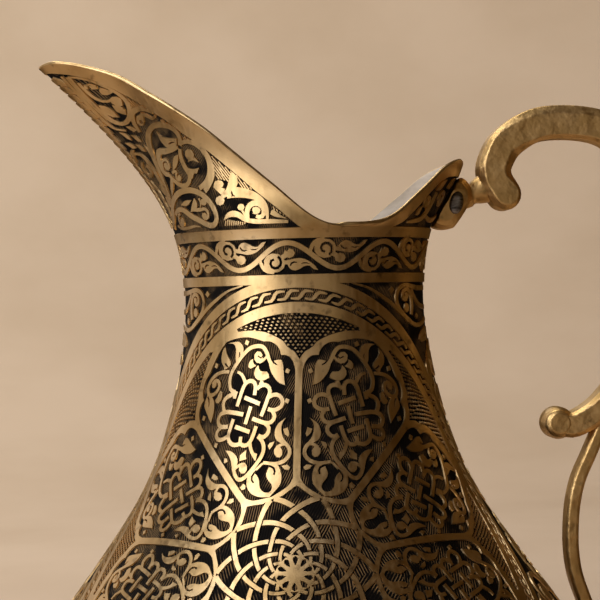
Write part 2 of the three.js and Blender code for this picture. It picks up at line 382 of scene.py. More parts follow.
# Turns a piece's live modifiers into a plain mesh.
def keepResult(piece):
    graph = bpy.context.evaluated_depsgraph_get()
    finished = bpy.data.meshes.new_from_object(piece.evaluated_get(graph))
    piece.modifiers.clear()
    piece.data = finished


def rideAs(piece, node):
    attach(piece, "root")
    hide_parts(node)


# Faces of a skin over rows of points, each row closed round a ring; rows join last to first if closed.
def skinFaces(rows, columns, closed):
    faces = []
    for j in range(rows if closed else rows - 1):
        k = (j + 1) % rows
        for i in range(columns):
            n = (i + 1) % columns
            faces.append((j * columns + i, j * columns + n, k * columns + n, k * columns + i))
    return faces


# Upper shell: dark ground outside, tin inside and on its edge at the seam, brass at the rim.
def upperShell():
    side = np.arange(body["columns"]) * 2 / body["columns"] - 1
    turn = np.sign(side) * 180 * np.abs(side) ** lip["turnPower"]
    angle = math.pi + np.radians(turn)
    heights = np.linspace(body["seam"], body["collar"], body["rows"], endpoint=False)
    shares = np.linspace(0, 1, body["lipRows"])

    chord = np.linalg.norm(lipSpot(turn, np.ones_like(turn)) - lipSpot(turn, np.zeros_like(turn)), axis=-1)
    top = 1 - np.minimum(lip["round"] / chord, 0.5)  # where the rounding of the rim begins
    rise = lipSpot(turn, np.ones_like(turn)) - lipSpot(turn, top)

    def layer(depth):
        rows = [bodyPoint(angle, np.full_like(angle, z), depth) for z in heights]
        rows += [lipPoint(turn, top * s, depth) for s in shares]
        return [p for p, _ in rows]

    outside = layer(body["relief"])
    inside = layer(body["wall"])[::-1]
    half = body["wall"] / 2
    rim = []
    for t in np.linspace(0, math.pi, lip["roundSteps"]):
        rim.append(lipPoint(turn, top, half - half * math.cos(t))[0] + rise * math.sin(t))
    rows = outside + rim + inside
    faces = skinFaces(len(rows), body["columns"], True)
    kinds = []
    for j in range(len(rows)):
        kind = 0 if j < len(outside) - 1 else 2 if j < len(outside) + len(rim) else 1
        kinds += [kind] * body["columns"]
    shell = makePiece("bodyShell", np.concatenate(rows), faces, [darkGround, tin, engravedBrass], kinds)
    shell.data.set_sharp_from_angle(angle=math.radians(40))
    mapGround(shell)
    rideAs(shell, "upper_body")


upperShell()
print("upper shell made")


# Engraver's kit. A drawing is a list of (tone, outline) in millimetres, painted in order;
# brass is what stays at the surface, dark is what is cut down to the ground.
brassTone, darkTone = 1, 0
engraving = {
    "grid": 2.2,  # longest side of a triangle
    "pitch": 0.75,  # spacing of points along a drawn line
    "merge": 0.004,
    "under": 0.12,  # how far the brass goes into the ground
    "slant": 0.12,
}


# Smooth line through points, evenly spaced along its length.
def smoothLine(points, count, closed=False):
    p = np.asarray(points, float)
    if len(p) == 2:
        return np.linspace(p[0], p[1], count)
    if closed:
        p = np.concatenate([p[-1:], p, p[:2]])
    else:
        p = np.concatenate([[2 * p[0] - p[1]], p, [2 * p[-1] - p[-2]]])
    t = np.linspace(0, 1, 12, endpoint=False)[:, None]
    fine = []
    for a, b, c, d in zip(p, p[1:], p[2:], p[3:]):
        bend = (2 * a - 5 * b + 4 * c - d) * t**2 + (3 * b - a - 3 * c + d) * t**3
        fine.append(0.5 * (2 * b + (c - a) * t + bend))
    fine = np.concatenate(fine + [p[-2:-1]])
    run = np.concatenate([[0], np.cumsum(np.linalg.norm(np.diff(fine, axis=0), axis=1))])
    want = np.linspace(0, run[-1], count)
    return np.stack([np.interp(want, run, fine[:, i]) for i in range(p.shape[1])], -1)


def lineCount(points):
    p = np.asarray(points, float)
    run = np.sum(np.linalg.norm(np.diff(p, axis=0), axis=1))
    return int(max(4, round(run / engraving["pitch"])))


# A vine or a ribbon: a line with a width at its start, middle and end.
def stroke(points, *widths, tone=brassTone):
    line = smoothLine(points, lineCount(points))
    along = np.gradient(line, axis=0)
    along /= np.maximum(np.linalg.norm(along, axis=1, keepdims=True), 1e-9)
    across = np.stack([-along[:, 1], along[:, 0]], -1)
    stops = np.linspace(0, 1, max(len(widths), 2))
    wide = np.interp(np.linspace(0, 1, len(line)), stops, widths if len(widths) > 1 else widths * 2)
    half = wide[:, None] / 2
    return [(tone, np.concatenate([line + across * half, (line - across * half)[::-1]]))]


# A leaf between two edges that both run from its root to its tip.
def blade(left, right, tone=brassTone):
    one = smoothLine(left, lineCount(left))
    two = smoothLine(right, lineCount(right))
    return [(tone, np.concatenate([one, two[::-1]]))]


def patch(points, tone=brassTone):
    return [(tone, np.asarray(points, float))]


def blob(x, y, across, high=None, tone=brassTone):
    high = high or across
    count = max(8, int(7 * max(across, high) ** 0.5))
    t = np.arange(count) * 2 * math.pi / count
    return patch(np.stack([np.cos(t) * across + x, np.sin(t) * high + y], -1), tone)


# A curl: a line that winds in from one radius to another between two angles in degrees.
def curl(x, y, first, last, start, end, *widths, tone=brassTone):
    t = np.linspace(0, 1, max(5, int(abs(end - start) / 28)))
    a = np.radians(start + (end - start) * t)
    r = first + (last - first) * t
    return stroke(np.stack([x + r * np.cos(a), y + r * np.sin(a)], -1), *widths, tone=tone)


def diamond(x, y, across, high):
    return patch([(x - across / 2, y), (x, y - high / 2), (x + across / 2, y), (x, y + high / 2)])


def moved(drawing, change):
    return [(tone, change(outline)) for tone, outline in drawing]


# Adds points to an outline so that no side is longer than the grid.
def divided(outline):
    out = []
    for a, b in zip(outline, np.roll(outline, -1, axis=0)):
        steps = max(1, int(math.ceil(np.linalg.norm(b - a) / engraving["grid"])))
        out += [a + (b - a) * i / steps for i in range(steps)]
    return np.array(out)


# How often an outline winds round each point.
def windings(outline, points):
    x, y = points[:, 0], points[:, 1]
    count = np.zeros(len(points), int)
    for (x0, y0), (x1, y1) in zip(outline, np.roll(outline, -1, axis=0)):
        left = (x1 - x0) * (y - y0) - (x - x0) * (y1 - y0)
        count += (y0 <= y) & (y1 > y) & (left > 0)
        count -= (y0 > y) & (y1 <= y) & (left < 0)
    return count


# Cuts a drawing into triangles and keeps those whose last coat is brass.
def cutBrass(drawing):
    outlines = [divided(outline) for _, outline in drawing]
    points = np.concatenate(outlines)
    edges, start = [], 0
    for outline in outlines:
        n = len(outline)
        edges += [(start + i, start + (i + 1) % n) for i in range(n)]
        start += n
    low, high = points.min(0), points.max(0)
    step = engraving["grid"]
    columns = np.arange(low[0] + 0.37 * step, high[0], step)
    rows = np.arange(low[1] + 0.41 * step, high[1], step)
    gx, gy = np.meshgrid(columns, rows)
    grid = np.stack([gx.ravel(), gy.ravel()], -1)
    taken = {(int(x), int(y)) for x, y in np.floor(points / (0.5 * step))}
    cells = np.floor(grid / (0.5 * step)).astype(int)
    grid = grid[[(x, y) not in taken for x, y in cells]]
    everything = [Vector(p) for p in np.concatenate([points, grid])]
    verts, _, faces, _, _, _ = delaunay_2d_cdt(everything, edges, [], 0, engraving["merge"], False)
    flat = np.array([v[:] for v in verts])
    faces = np.array(faces)
    middles = flat[faces].mean(1)
    tones = np.zeros(len(faces), int)
    for tone, outline in drawing:
        lowest, highest = outline.min(0), outline.max(0)
        near = np.where(np.all((middles >= lowest) & (middles <= highest), axis=1))[0]
        hit = near[windings(outline, middles[near]) != 0]
        tones[hit] = tone
    return flat, faces[tones == brassTone]


# Moves the border outwards, so that the walls slope down to the ground as a graver leaves them.
def slanted(flat, cut, border):
    one, two, three = (flat[cut[:, i]] for i in range(3))
    area = np.sum((two - one)[:, 0] * (three - one)[:, 1] - (two - one)[:, 1] * (three - one)[:, 0])
    along = flat[border[:, 1]] - flat[border[:, 0]]
    out = np.stack([along[:, 1], -along[:, 0]], -1) * np.sign(area)
    out /= np.maximum(np.linalg.norm(out, axis=1, keepdims=True), 1e-9)
    push = np.zeros_like(flat)
    np.add.at(push, border[:, 0], out)
    np.add.at(push, border[:, 1], out)
    push /= np.maximum(np.linalg.norm(push, axis=1, keepdims=True), 1e-9)
    return flat + push * engraving["slant"]


# Lays cut brass on a surface as one closed piece: tops at the surface, walls and undersides below.
def layBrass(name, cuts):
    points, faces, kinds, corners = [], [], [], []
    start = 0
    for flat, cut, chart, mirrored in cuts:
        used, cut = np.unique(cut, return_inverse=True)
        cut = cut.reshape(-1, 3)
        u, v = flat[used, 0], flat[used, 1]
        top, normal = chart(u, v, 0.0)
        n = len(used)
        sides = np.concatenate([cut[:, [0, 1]], cut[:, [1, 2]], cut[:, [2, 0]]])
        _, index, count = np.unique(np.sort(sides, axis=1), axis=0, return_index=True, return_counts=True)
        border = sides[index[count == 1]]
        foot = slanted(np.stack([u, v], -1), cut, border)
        under, _ = chart(foot[:, 0], foot[:, 1], body["relief"] + engraving["under"])
        if mirrored:
            cut, border = cut[:, ::-1], border[:, ::-1]
        walls = np.stack([border[:, 0], border[:, 0] + n, border[:, 1] + n, border[:, 1]], -1)
        points += [top, under]
        faces += (cut + start).tolist() + (walls + start).tolist() + (cut[:, ::-1] + n + start).tolist()
        kinds += [True] * len(cut) + [False] * (len(walls) + len(cut))
        corners += [normal[cut].reshape(-1, 3), np.zeros((len(walls) * 4 + len(cut) * 3, 3))]
        start += 2 * n
    piece = makePiece(name, np.concatenate(points), faces, [engravedBrass])
    piece.data.polygons.foreach_set("use_smooth", np.array(kinds, bool))
    piece.data.normals_split_custom_set(np.concatenate(corners))
    print(name, len(faces), "faces")
    return piece


# A chart's twin on the far side of the jug.
def farSide(chart):
    def far(u, v, depth):
        place, normal = chart(u, v, depth)
        return place * (1, -1, 1), normal * (1, -1, 1)

    return far


# The same brass on the near and the far side, as layBrass takes it.
def bothSides(flat, cut, chart, mirrored=False):
    return [(flat, cut, chart, mirrored), (flat, cut, farSide(chart), not mirrored)]


# Chart of the body: the distance round a 33 mm neck from the near side, and the height.
neckRound = 33.0


def bodyChart(u, v, depth):
    return bodyPoint(u / neckRound - math.pi / 2, v, depth)


# Medallion of ten petals on each side of the body, drawn round its centre by distance and angle.
medallion = {
    "turn": -9.2,
    "height": 111.4,
    "skew": 4.5,  # the petals crowd a little towards the top
    "shrink": 0.06,
    "ringTurn": 22.0,
    "petalTurn": 36.0,
    "swirl": 2.7,  # how far the petal left of the top leans towards it
    "swirlMiddle": -22.0,
    "petals": 10,
    "rosette": 21.0,
    "petalTips": (63.0, 68.0),  # where the ring's pull takes over from the petals'
    "leanFrom": (28.0, 65.0),
    "hatchPitch": (1.35, 0.86),  # small diamonds between the petals
    "hatchSize": (0.72, 0.52),
    "hatchShrink": 0.955,
    "chainLow": 69.8,
    "chainHigh": 73.4,
    "ringOuter": 76.0,
    "chainLink": 3.3,
}


# Walks out from the centre along the surface. Lengths are true at the top and a little shorter elsewhere.
def medallionChart(u, v, depth):
    reach, aim = np.hypot(u, v), np.degrees(np.arctan2(u, v))
    ringPull = 1 - np.exp(-((aim / medallion["ringTurn"]) ** 2))
    petalPull = 1 - np.exp(-((aim / medallion["petalTurn"]) ** 4))
    outer = np.interp(reach, medallion["petalTips"], (0, 1))
    lean = np.exp(-(((aim - medallion["swirlMiddle"]) / medallion["ringTurn"]) ** 2))
    lean = lean * np.interp(reach, medallion["leanFrom"], (0, 1)) * (1 - outer)
    reach = reach * (1 - medallion["shrink"] * (petalPull + (ringPull - petalPull) * outer))
    aim = np.radians(aim - medallion["skew"] * np.sin(np.radians(aim)) + medallion["swirl"] * lean)
    around = np.full_like(reach, math.radians(medallion["turn"] - 90))
    state = np.stack([around, np.full_like(reach, medallion["height"]), math.pi / 2 - aim])

    def slopes(s):
        r, m = hermite(body["knots"], s[1])
        length = np.hypot(1, m)
        return np.stack([np.cos(s[2]) / r, np.sin(s[2]) / length, m / length / r * np.cos(s[2])])

    steps = 36
    h = reach / steps
    for _ in range(steps):
        k1 = slopes(state)
        k2 = slopes(state + k1 * h / 2)
        k3 = slopes(state + k2 * h / 2)
        k4 = slopes(state + k3 * h)
        state = state + (k1 + 2 * k2 + 2 * k3 + k4) * h / 6
    return bodyPoint(state[0], state[1], depth)


def polar(reach, degrees):
    a = np.radians(degrees)
    return np.stack([np.asarray(reach) * np.sin(a), np.asarray(reach) * np.cos(a)], -1)


def arc(reach, first, last, count):
    return polar(np.full(count, reach), np.linspace(first, last, count))


def turned(degrees, flip=1):
    c, s = math.cos(math.radians(degrees)), math.sin(math.radians(degrees))
    return lambda p: (p * (flip, 1)) @ np.array([[c, -s], [s, c]])


petalEdge = [  # right half from the tip down, one smooth run between two sharp points
    [(0, 65.3), (3.2, 64), (6.6, 62), (9.1, 60.2)],
    [(9.1, 60.2), (10.9, 59.5), (12.3, 58), (12.8, 56.2), (12.7, 55.3)],
    [(12.7, 55.3), (14.3, 54.6), (15.2, 53.2), (15.4, 51.4), (15.1, 49.5), (12.8, 42.5), (10.05, 34),
     (6.9, 24.3)],
    [(6.9, 24.3), (5.2, 22.9), (2.6, 22.1), (0, 21.6)],
]
spandrelEdge = [
    (4.7, 65.9), (8.2, 63.7), (11.8, 60.9), (14.2, 58.4), (14.9, 56.6), (16.3, 55), (17.1, 52.7),
]


def petalGround():
    runs = [smoothLine(run, lineCount(run))[:-1] for run in petalEdge]
    right = np.concatenate(runs + [[petalEdge[-1][-1]]])
    left = (right * (-1, 1))[::-1]
    return patch(np.concatenate([right, left[1:-1]]), darkTone)


# Dark corner between two petals and the ring, crossed into rows of small diamonds.
def spandrelGround():
    axis = 180 / medallion["petals"]
    edge = smoothLine(spandrelEdge, 16)
    mirrored = np.array([turned(2 * axis)(p * (-1, 1)) for p in edge])
    top = arc(67.1, 4.4, 2 * axis - 4.4, 9)
    drawing = patch(np.concatenate([edge[::-1], top, mirrored]), darkTone)
    inside = drawing[0][1]
    across, high = medallion["hatchPitch"]
    rows = np.arange(53.0, 67.0, high)
    spots = [(x, y) for j, y in enumerate(rows) for x in np.arange(-16, 16, across) + 0.68 * (j % 2)]
    spots = turned(axis)(np.array(spots))
    shrunk = inside.mean(0) + (inside - inside.mean(0)) * medallion["hatchShrink"]
    kept = spots[windings(shrunk, spots) != 0]
    for x, y in kept:
        shape = diamond(0, 0, *medallion["hatchSize"])
        drawing += moved(shape, lambda p, x=x, y=y: turned(axis)(p) + (x, y))
    return drawing


# Knot of three strands woven with three, each line a strand between two crossings.
knot = {
    "width": 1.02,
    "strands": [
        [(-2.7, 47.7), (-1.3, 49.4), (0, 51), (1.1, 52), (2.4, 52.2), (3.5, 51.6), (3.8, 50.3),
         (2.9, 48.2)],
        [(3.2, 42.4), (4.6, 44), (6.2, 46), (7.2, 47.3), (7.3, 48.5), (6.5, 49.5), (5.1, 49.8), (4, 49.4)],
        [(6.4, 46.2), (8.1, 46.3), (9.4, 45.6), (9.9, 44.2), (9.3, 42.9), (7.8, 42.5), (6.6, 42.7),
         (5.5, 43.4)],
        [(0.7, 42.8), (2.1, 41.6), (3.5, 40.5), (4.9, 39.9), (6.2, 40.3), (6.8, 41.3), (6.5, 42.5)],
        [(3.7, 40.3), (4.4, 39), (4, 37.8), (2.8, 37.1), (1.8, 37.3), (1.1, 38)],
        [(1.2, 40.5), (0.1, 39.1), (-1.2, 37.7), (-2.5, 37.1), (-3.7, 37.5), (-4.3, 38.5), (-3.7, 39.9)],
        [(-4.6, 45.2), (-5.8, 43.8), (-7, 42.3), (-7.4, 41), (-6.9, 39.7), (-6, 38.8), (-4.4, 38.3)],
        [(-7.4, 42), (-9, 42.1), (-10.4, 42.8), (-10.8, 43.9), (-10.2, 44.9), (-8.8, 45.3)],
        [(-6.7, 44.3), (-8, 44.9), (-9, 45.7), (-9.3, 46.8), (-8.9, 47.9), (-7.6, 48.5)],
        [(-7.8, 48.4), (-6.2, 48), (-4.4, 46.9), (-1.5, 44.9)],
        [(-6.7, 48.4), (-6.7, 50), (-6, 51.1), (-4.7, 51.4), (-3.3, 51.2), (-2, 51.4)],
        [(-1.9, 51.4), (-3, 50)],
        [(-4.6, 43.1), (-1, 39.9)],
        [(-1.6, 42.3), (1.1, 45.9)],
        [(0, 48.8), (3.7, 45.5)],
    ],
}


def knotDrawing():
    drawing = []
    for line in knot["strands"]:
        drawing += stroke(line, knot["width"])
    return drawing


# Tulip at the tip, the vine that runs down both sides of it, and its leaves and buds.
def petalTop():
    d = blade(
        [(-4.1, 58.3), (-4, 59.2), (-4.4, 60.6), (-4.1, 62), (-3.2, 63.2), (-1.6, 64.1)],
        [(-4.1, 58.3), (-2.2, 58.3), (-1.6, 59.1), (-2, 60.6), (-2.3, 62), (-2.1, 63.2), (-1.6, 64.1)],
    )
    d += stroke([(-3.4, 59.8), (-3.1, 59), (-2.6, 58.2)], 0.5, 0.5, 0.3, tone=darkTone)
    d += blade(
        [(0, 58.5), (0.1, 59.6), (0.6, 60.8), (0.85, 62), (0.5, 63.3), (-0.4, 64.6)],
        [(0, 58.5), (1, 59), (2.4, 59.5), (3, 60.6), (2.9, 61.8), (1.9, 63.1), (-0.4, 64.6)],
    )
    d += stroke([(1.6, 60.3), (1.5, 59.7), (1.1, 59)], 0.4, 0.4, 0.3, tone=darkTone)
    d += stroke(
        [(-2.6, 51.6), (-3.4, 52.6), (-3.4, 53.8), (-2.9, 55.4), (-1.7, 56.8), (0, 57.9), (2, 59),
         (4, 59.8), (5.6, 60), (7.4, 59.6), (8.6, 58.8), (9.1, 57.4), (9.2, 56), (9.4, 54.6)],
        0.95, 1.0, 1.0,
    )
    d += stroke([(1.2, 52.2), (1.1, 53.4), (0.7, 54.8), (-0.3, 55.9)], 0.95, 0.85, 0.6)
    d += blade(
        [(9.0, 54.8), (8.9, 52.4), (9.4, 50.4), (10.2, 48.8), (11.6, 47.6)],
        [(10, 54.6), (11.2, 54.4), (12.3, 54.2), (12.6, 53), (12.3, 51.4), (11.9, 49.6), (11.6, 47.6)],
    )
    d += stroke([(9.95, 56), (10.2, 54.3), (11, 53.2)], 0.55, 0.55, 0.3, tone=darkTone)
    d += blob(6.6, 56.9, 1.3, 1.55) + stroke([(6.4, 55.6), (7.6, 55.7), (8.8, 56.2)], 0.7, 0.7, 0.6)
    d += stroke(
        [(6.5, 57.3), (6.9, 56.6), (7.6, 56.4), (8.15, 57), (8, 58)],
        0.35, 0.4, 0.45, tone=darkTone,
    )
    d += blade(
        [(5, 57.1), (3.9, 56.9), (3.2, 56), (3.4, 55.1), (5.4, 55.1)],
        [(5, 57.1), (4.7, 56.2), (4.9, 55.7), (5.4, 55.1)],
    )
    d += blade(
        [(6, 55), (4.8, 54.4), (4.2, 53), (4.8, 51.6), (6.2, 50.8), (8, 50.9)],
        [(6, 55), (5.9, 54), (6.4, 53.1), (7.4, 52.8), (8.1, 52.2), (8, 50.9)],
    )
    d += stroke(
        [(-2.7, 57.1), (-5, 58.2), (-7.4, 58.6), (-9.5, 58.1), (-10.6, 57), (-10.7, 55.8), (-10.2, 55),
         (-9.2, 54.5), (-8, 54.5), (-6.9, 55), (-6.5, 56), (-6.9, 57), (-7.8, 57.4), (-8.8, 57.1)],
        0.8, 0.95, 0.95, 0.85,
    )
    d += blob(-8.2, 56.6, 0.85, 0.75)
    d += blade(
        [(-11.2, 55.6), (-12.8, 54), (-12.6, 52.2), (-12.1, 50), (-11.7, 48.3)],
        [(-10.2, 55.2), (-9.4, 53.4), (-9.4, 52.2), (-10, 50.4), (-11.7, 48.3)],
    )
    d += stroke([(-11.1, 55.2), (-10.9, 53.8), (-11.4, 52.6)], 0.5, 0.5, 0.25, tone=darkTone)
    d += blade(
        [(-6.6, 54.1), (-6.1, 53.2), (-6.9, 51.9), (-7.9, 51.4), (-8.8, 52)],
        [(-6.6, 54.1), (-7.4, 53.6), (-7.9, 53.1), (-8.8, 52.9), (-8.8, 52)],
    )
    return d


# Stems below the knot, a curled leaf on each side and the hollow heart at the root.
def petalFoot():
    d = blade(
        [(-2.2, 37), (-2.3, 35.4), (-2, 33.8), (-1.5, 32.2)],
        [(-1.2, 37), (-1.4, 35.2), (-1, 34), (-0.5, 33.6), (-1.5, 32.2)],
    )
    d += stroke(
        [(0.9, 37.9), (1.6, 36.7), (1.8, 35.2), (1.4, 33.8), (0.4, 32.6), (-1, 31.6), (-2.6, 30.7),
         (-4.2, 30), (-5.6, 29.6), (-7, 29.7), (-7.8, 30.6), (-8.1, 32), (-8, 33.6)],
        1.0, 1.0, 1.0,
    )
    d += blade(
        [(-8.5, 32.8), (-8.3, 34.6), (-8.2, 36.4), (-9, 39)],
        [(-7.5, 33), (-6.5, 34), (-6.2, 35.2), (-6.6, 36.6), (-7.6, 38), (-9, 39)],
    )
    d += blob(-5.3, 32.1, 1.25, 1.45) + stroke([(-7.9, 33.1), (-6.7, 33.3), (-5.3, 33.2)], 0.75, 0.75, 0.7)
    d += stroke(
        [(0.5, 30.9), (1.8, 30.2), (3.2, 29.5), (4.8, 29.2), (6.3, 29.4), (7.6, 30.2), (8.1, 31.3),
         (8, 32.5), (7.3, 33.8)],
        0.8, 1.0, 0.95,
    )
    d += blade(
        [(6.8, 33.6), (5.6, 34.9), (5.4, 36.4), (6, 37.8), (7.2, 38.9), (9.6, 39.6)],
        [(8.2, 33), (7.4, 35), (7.4, 36.6), (7.8, 38), (8.5, 38.9), (9.6, 39.6)],
    )
    d += blob(5.1, 32, 1.15, 1.5) + stroke([(5, 33.2), (6.3, 33.5), (7.4, 33.3)], 0.8, 0.75, 0.7)
    d += blade(
        [(-4.2, 29.9), (-5.2, 28.6), (-5.6, 26.8), (-5, 24.8), (-3.2, 23), (-0.6, 21.8)],
        [(-4.2, 29.9), (-2, 30.3), (0.4, 31), (2.4, 30), (3.9, 29.1), (4.3, 27.4), (4, 25.4),
         (2.8, 23.6), (-0.6, 21.8)],
    )
    d += blade(
        [(0.3, 30.5), (-1.2, 29.9), (-2.4, 29.4), (-2, 28.2), (-1.9, 26.9), (-2.3, 25.6), (-2.1, 24.3),
         (-1.4, 23.4), (-0.4, 23)],
        [(0.3, 30.5), (1.8, 29.7), (1.2, 28.7), (0.5, 28), (0.3, 26.9), (0.6, 25.7), (1, 24.5),
         (0.6, 23.4), (-0.4, 23)],
        darkTone,
    )
    d += stroke([(-3.5, 27.1), (-3.8, 28.2), (-3.2, 29.1), (-1.8, 29.7)], 0.45, 0.55, 0.55, tone=darkTone)
    d += stroke([(2.3, 26.8), (2.9, 27.8), (2.6, 28.8), (1.5, 29.6)], 0.5, 0.6, 0.55, tone=darkTone)
    d += patch([(-5.8, 34.3), (-5.2, 35.6), (-3.1, 36), (-3.7, 34.6), (-3.7, 33.8)])
    d += patch([(-10.4, 36.2), (-9.9, 37.4), (-9.2, 36.8), (-9.2, 36)])
    d += patch([(-7.6, 27.9), (-6.3, 28.3), (-5.9, 27.5), (-6.3, 26.8), (-7.3, 27)])
    d += patch([(2.9, 34.5), (3.6, 35), (4.9, 34.9), (4, 34), (3, 33.4)])
    d += patch([(8, 37.1), (9.3, 37.1), (9.2, 35.4), (8.7, 34.8), (8.1, 35.7)])
    d += patch([(4.9, 28.3), (6.4, 28.1), (7, 27.2), (6.4, 26.6), (5.4, 27.2)])
    return d


petalSpecks = [(4.4, 61.7), (5.6, 50.4), (13.3, 50.8), (11, 43.6), (-6.3, 60.7), (-13.8, 51), (-11.6, 42)]

# Ribbons of the rosette: how far each turns from its divider, by its distance from the centre.
rosette = {
    "reach": [5, 6.8, 8.8, 11, 14, 17.3, 21.3, 24.4],
    "turn": [126, 108, 90, 72, 54, 36, 18, 0],
    "width": [0.85, 0.9, 1.0, 1.1, 1.2, 1.3, 1.4, 1.5],
    "gap": 0.4,
    "hub": 5.1,
    "weave": range(1, 8),
    "step": 0.55,
    "bridge": 0.075,  # half length of a crossing, as a share of its distance from the centre
    "bridgeLeast": 0.45,
    "overlap": 0.25,
}


def ribbonSpot(reach, divider, hand):
    return polar(reach, divider + hand * np.interp(reach, rosette["reach"], rosette["turn"]))


def ribbon(first, last, divider, hand, extra=0.0, tone=brassTone):
    reach = np.linspace(first, last, max(3, int((last - first) / rosette["step"])))
    widths = np.interp(reach, rosette["reach"], rosette["width"]) + extra
    return stroke(ribbonSpot(reach, divider, hand), *widths, tone=tone)


def dividers():
    return [360 / medallion["petals"] * k for k in range(medallion["petals"])]


# Woven rosette in the middle: ribbons over and under by turns, round a small flower.
def rosetteDrawing():
    inner, outer = rosette["reach"][0], medallion["rosette"]
    circle = polar(np.full(80, outer), np.arange(80) * 4.5)
    drawing = patch(circle, darkTone)
    for a in dividers():
        drawing += ribbon(inner, outer, a, 1) + ribbon(inner, outer, a, -1)
    for ring in rosette["weave"]:
        turn = 180 / medallion["petals"] * ring
        middle = np.interp(turn, rosette["turn"][::-1], rosette["reach"][::-1])
        if middle > outer:
            continue
        span = rosette["bridge"] * middle + rosette["bridgeLeast"]
        first, last = max(middle - span, inner), min(middle + span, outer)
        start, end = max(first - rosette["overlap"], inner), min(last + rosette["overlap"], outer)
        hand = 1 if ring % 2 else -1
        for a in dividers():
            drawing += ribbon(first, last, a, hand, 2 * rosette["gap"], darkTone)
            drawing += ribbon(start, end, a, hand)
    drawing += blob(0, 0, rosette["hub"])
    for a in dividers():
        left = [(0, 2.3), (-0.34, 2.9), (-0.72, 3.7), (-0.66, 4.4), (0, 4.85)]
        drop = blade(left, [(-x, y) for x, y in left], darkTone)
        drawing += moved(drop, turned(-a))
    return drawing


# One petal with its share of the ring, from divider to divider.
def petalDrawing():
    half = 180 / medallion["petals"]
    low, high = medallion["rosette"], medallion["ringOuter"]
    sides = np.linspace(low, high, 30)
    wedge = np.concatenate([
        polar(sides, np.full(30, half)),
        arc(high, half, -half, 19)[1:-1],
        polar(sides[::-1], np.full(30, -half)),
        arc(low, -half, half, 13)[1:-1],
    ])
    drawing = patch(wedge[::-1])
    for hand in (1, -1):
        tip = polar([23.4, 21.0, 21.0], [half * hand, (half - 10.5) * hand, half * hand])
        drawing += patch(tip, darkTone)
    drawing += petalGround()
    corner = spandrelGround()
    drawing += corner + moved(corner, lambda p: p * (-1, 1))
    drawing += knotDrawing() + petalTop() + petalFoot()
    for x, y in petalSpecks:
        drawing += diamond(x, y, 1.45, 1.5)
    band = [arc(medallion["chainLow"], -half, half, 19), arc(medallion["chainHigh"], half, -half, 19)]
    drawing += patch(np.concatenate(band), darkTone)
    return drawing, wedge[::-1]


# Links of the chain in one petal's share of the ring. They lean the same way all round.
def chainDrawing():
    share = 360 / medallion["petals"]
    middle = (medallion["chainLow"] + medallion["chainHigh"]) / 2
    links = round(math.radians(share) * middle / medallion["chainLink"])
    drawing = []
    for i in range(links):
        a = share * ((i + 0.5) / links - 0.5)
        part = stroke([(-2.6, -0.85), (-0.7, -0.85), (0.55, 0.95), (2.5, 0.95)], 0.4, 0.85, 0.85, 0.4)
        drawing += moved(part, lambda p, a=a: polar(middle + p[:, 1], a + np.degrees(p[:, 0] / middle)))
    return drawing


def medallions():
    drawing, clip = petalDrawing()
    flat, cut = cutBrass(drawing)
    cut = cut[windings(clip, flat[cut].mean(1)) != 0]
    linkFlat, linkCut = cutBrass(chainDrawing())
    roseFlat, roseCut = cutBrass(rosetteDrawing())
    half = 180 / medallion["petals"]
    sides = (("nearMedallion", medallionChart, False), ("farMedallion", farSide(medallionChart), True))
    for name, chart, far in sides:
        cuts = []
        for a in dividers():
            right = a + half < 180
            spin = turned(a + half, -1 if right else 1)
            cuts.append((spin(flat), cut, chart, right != far))
            cuts.append((turned(a + half)(linkFlat), linkCut, chart, far))
        rideAs(layBrass(name, cuts), "upper_body")
        piece = layBrass(name + "Rosette", [(roseFlat, roseCut, chart, far)])
        rideAs(piece, "upper_body")


medallions()
print("medallions made")


# Waving vine with a curl and a half leaf in each bay, by turns above and below.
vine = {
    "wave": 26.0,
    "swing": 3.3,
    "stem": 1.25,
    "neckWaves": 8,
    "neckMiddle": 188.0,
    "neckStart": 6.0,
    "rings": [(192.4, 195.0), (180.9, 183.3), (46.5, 49.6)],
    "bowlWaves": 11,
    "bowlMiddle": 27.0,
    "bowlRound": 77.0,  # radius at which the bowl's vine is laid out
    "bowlScale": 1.62,
}


def bayDrawing():
    d = stroke([(-7.2, 0.9), (-6.7, 2.5), (-5.5, 3.6), (-3.6, 3.9)], 0.7, 1.1, 1.2)
    d += blob(-3.4, 1.7, 2.85, 2.45) + blob(0.5, -0.7, 1.45, 1.2)
    d += stroke([(-1.8, 0.6), (-0.2, -0.3)], 1.2, 1.1)
    d += blade(
        [(-0.2, 1.5), (0.4, 3.0), (1.7, 3.7), (3.1, 3.3), (4.7, 2.5), (7.3, 2.9)],
        [(-0.2, 1.1), (1.4, 0.8), (3.0, 0.6), (5.1, 1.2), (7.3, 2.9)],
    )
    d += stroke([(-1.6, 1.7), (-0.6, 1.6), (0.4, 1.6)], 1.0, 0.9, 1.1)
    d += curl(-3.35, 1.65, 1.85, 0.85, -60, 265, 0.65, 0.8, 0.6, tone=darkTone)
    d += stroke([(0.6, 2.5), (1.3, 1.6), (2.4, 1.7)], 0.35, 0.55, 0.2, tone=darkTone)
    d += stroke([(3.4, 2.0), (4.6, 1.8), (5.6, 2.1)], 0.1, 0.4, 0.1, tone=darkTone)
    d += patch([(-7.4, -2.6), (-6.3, -3.5), (-5.2, -3.7), (-5.9, -2.9)])
    return d


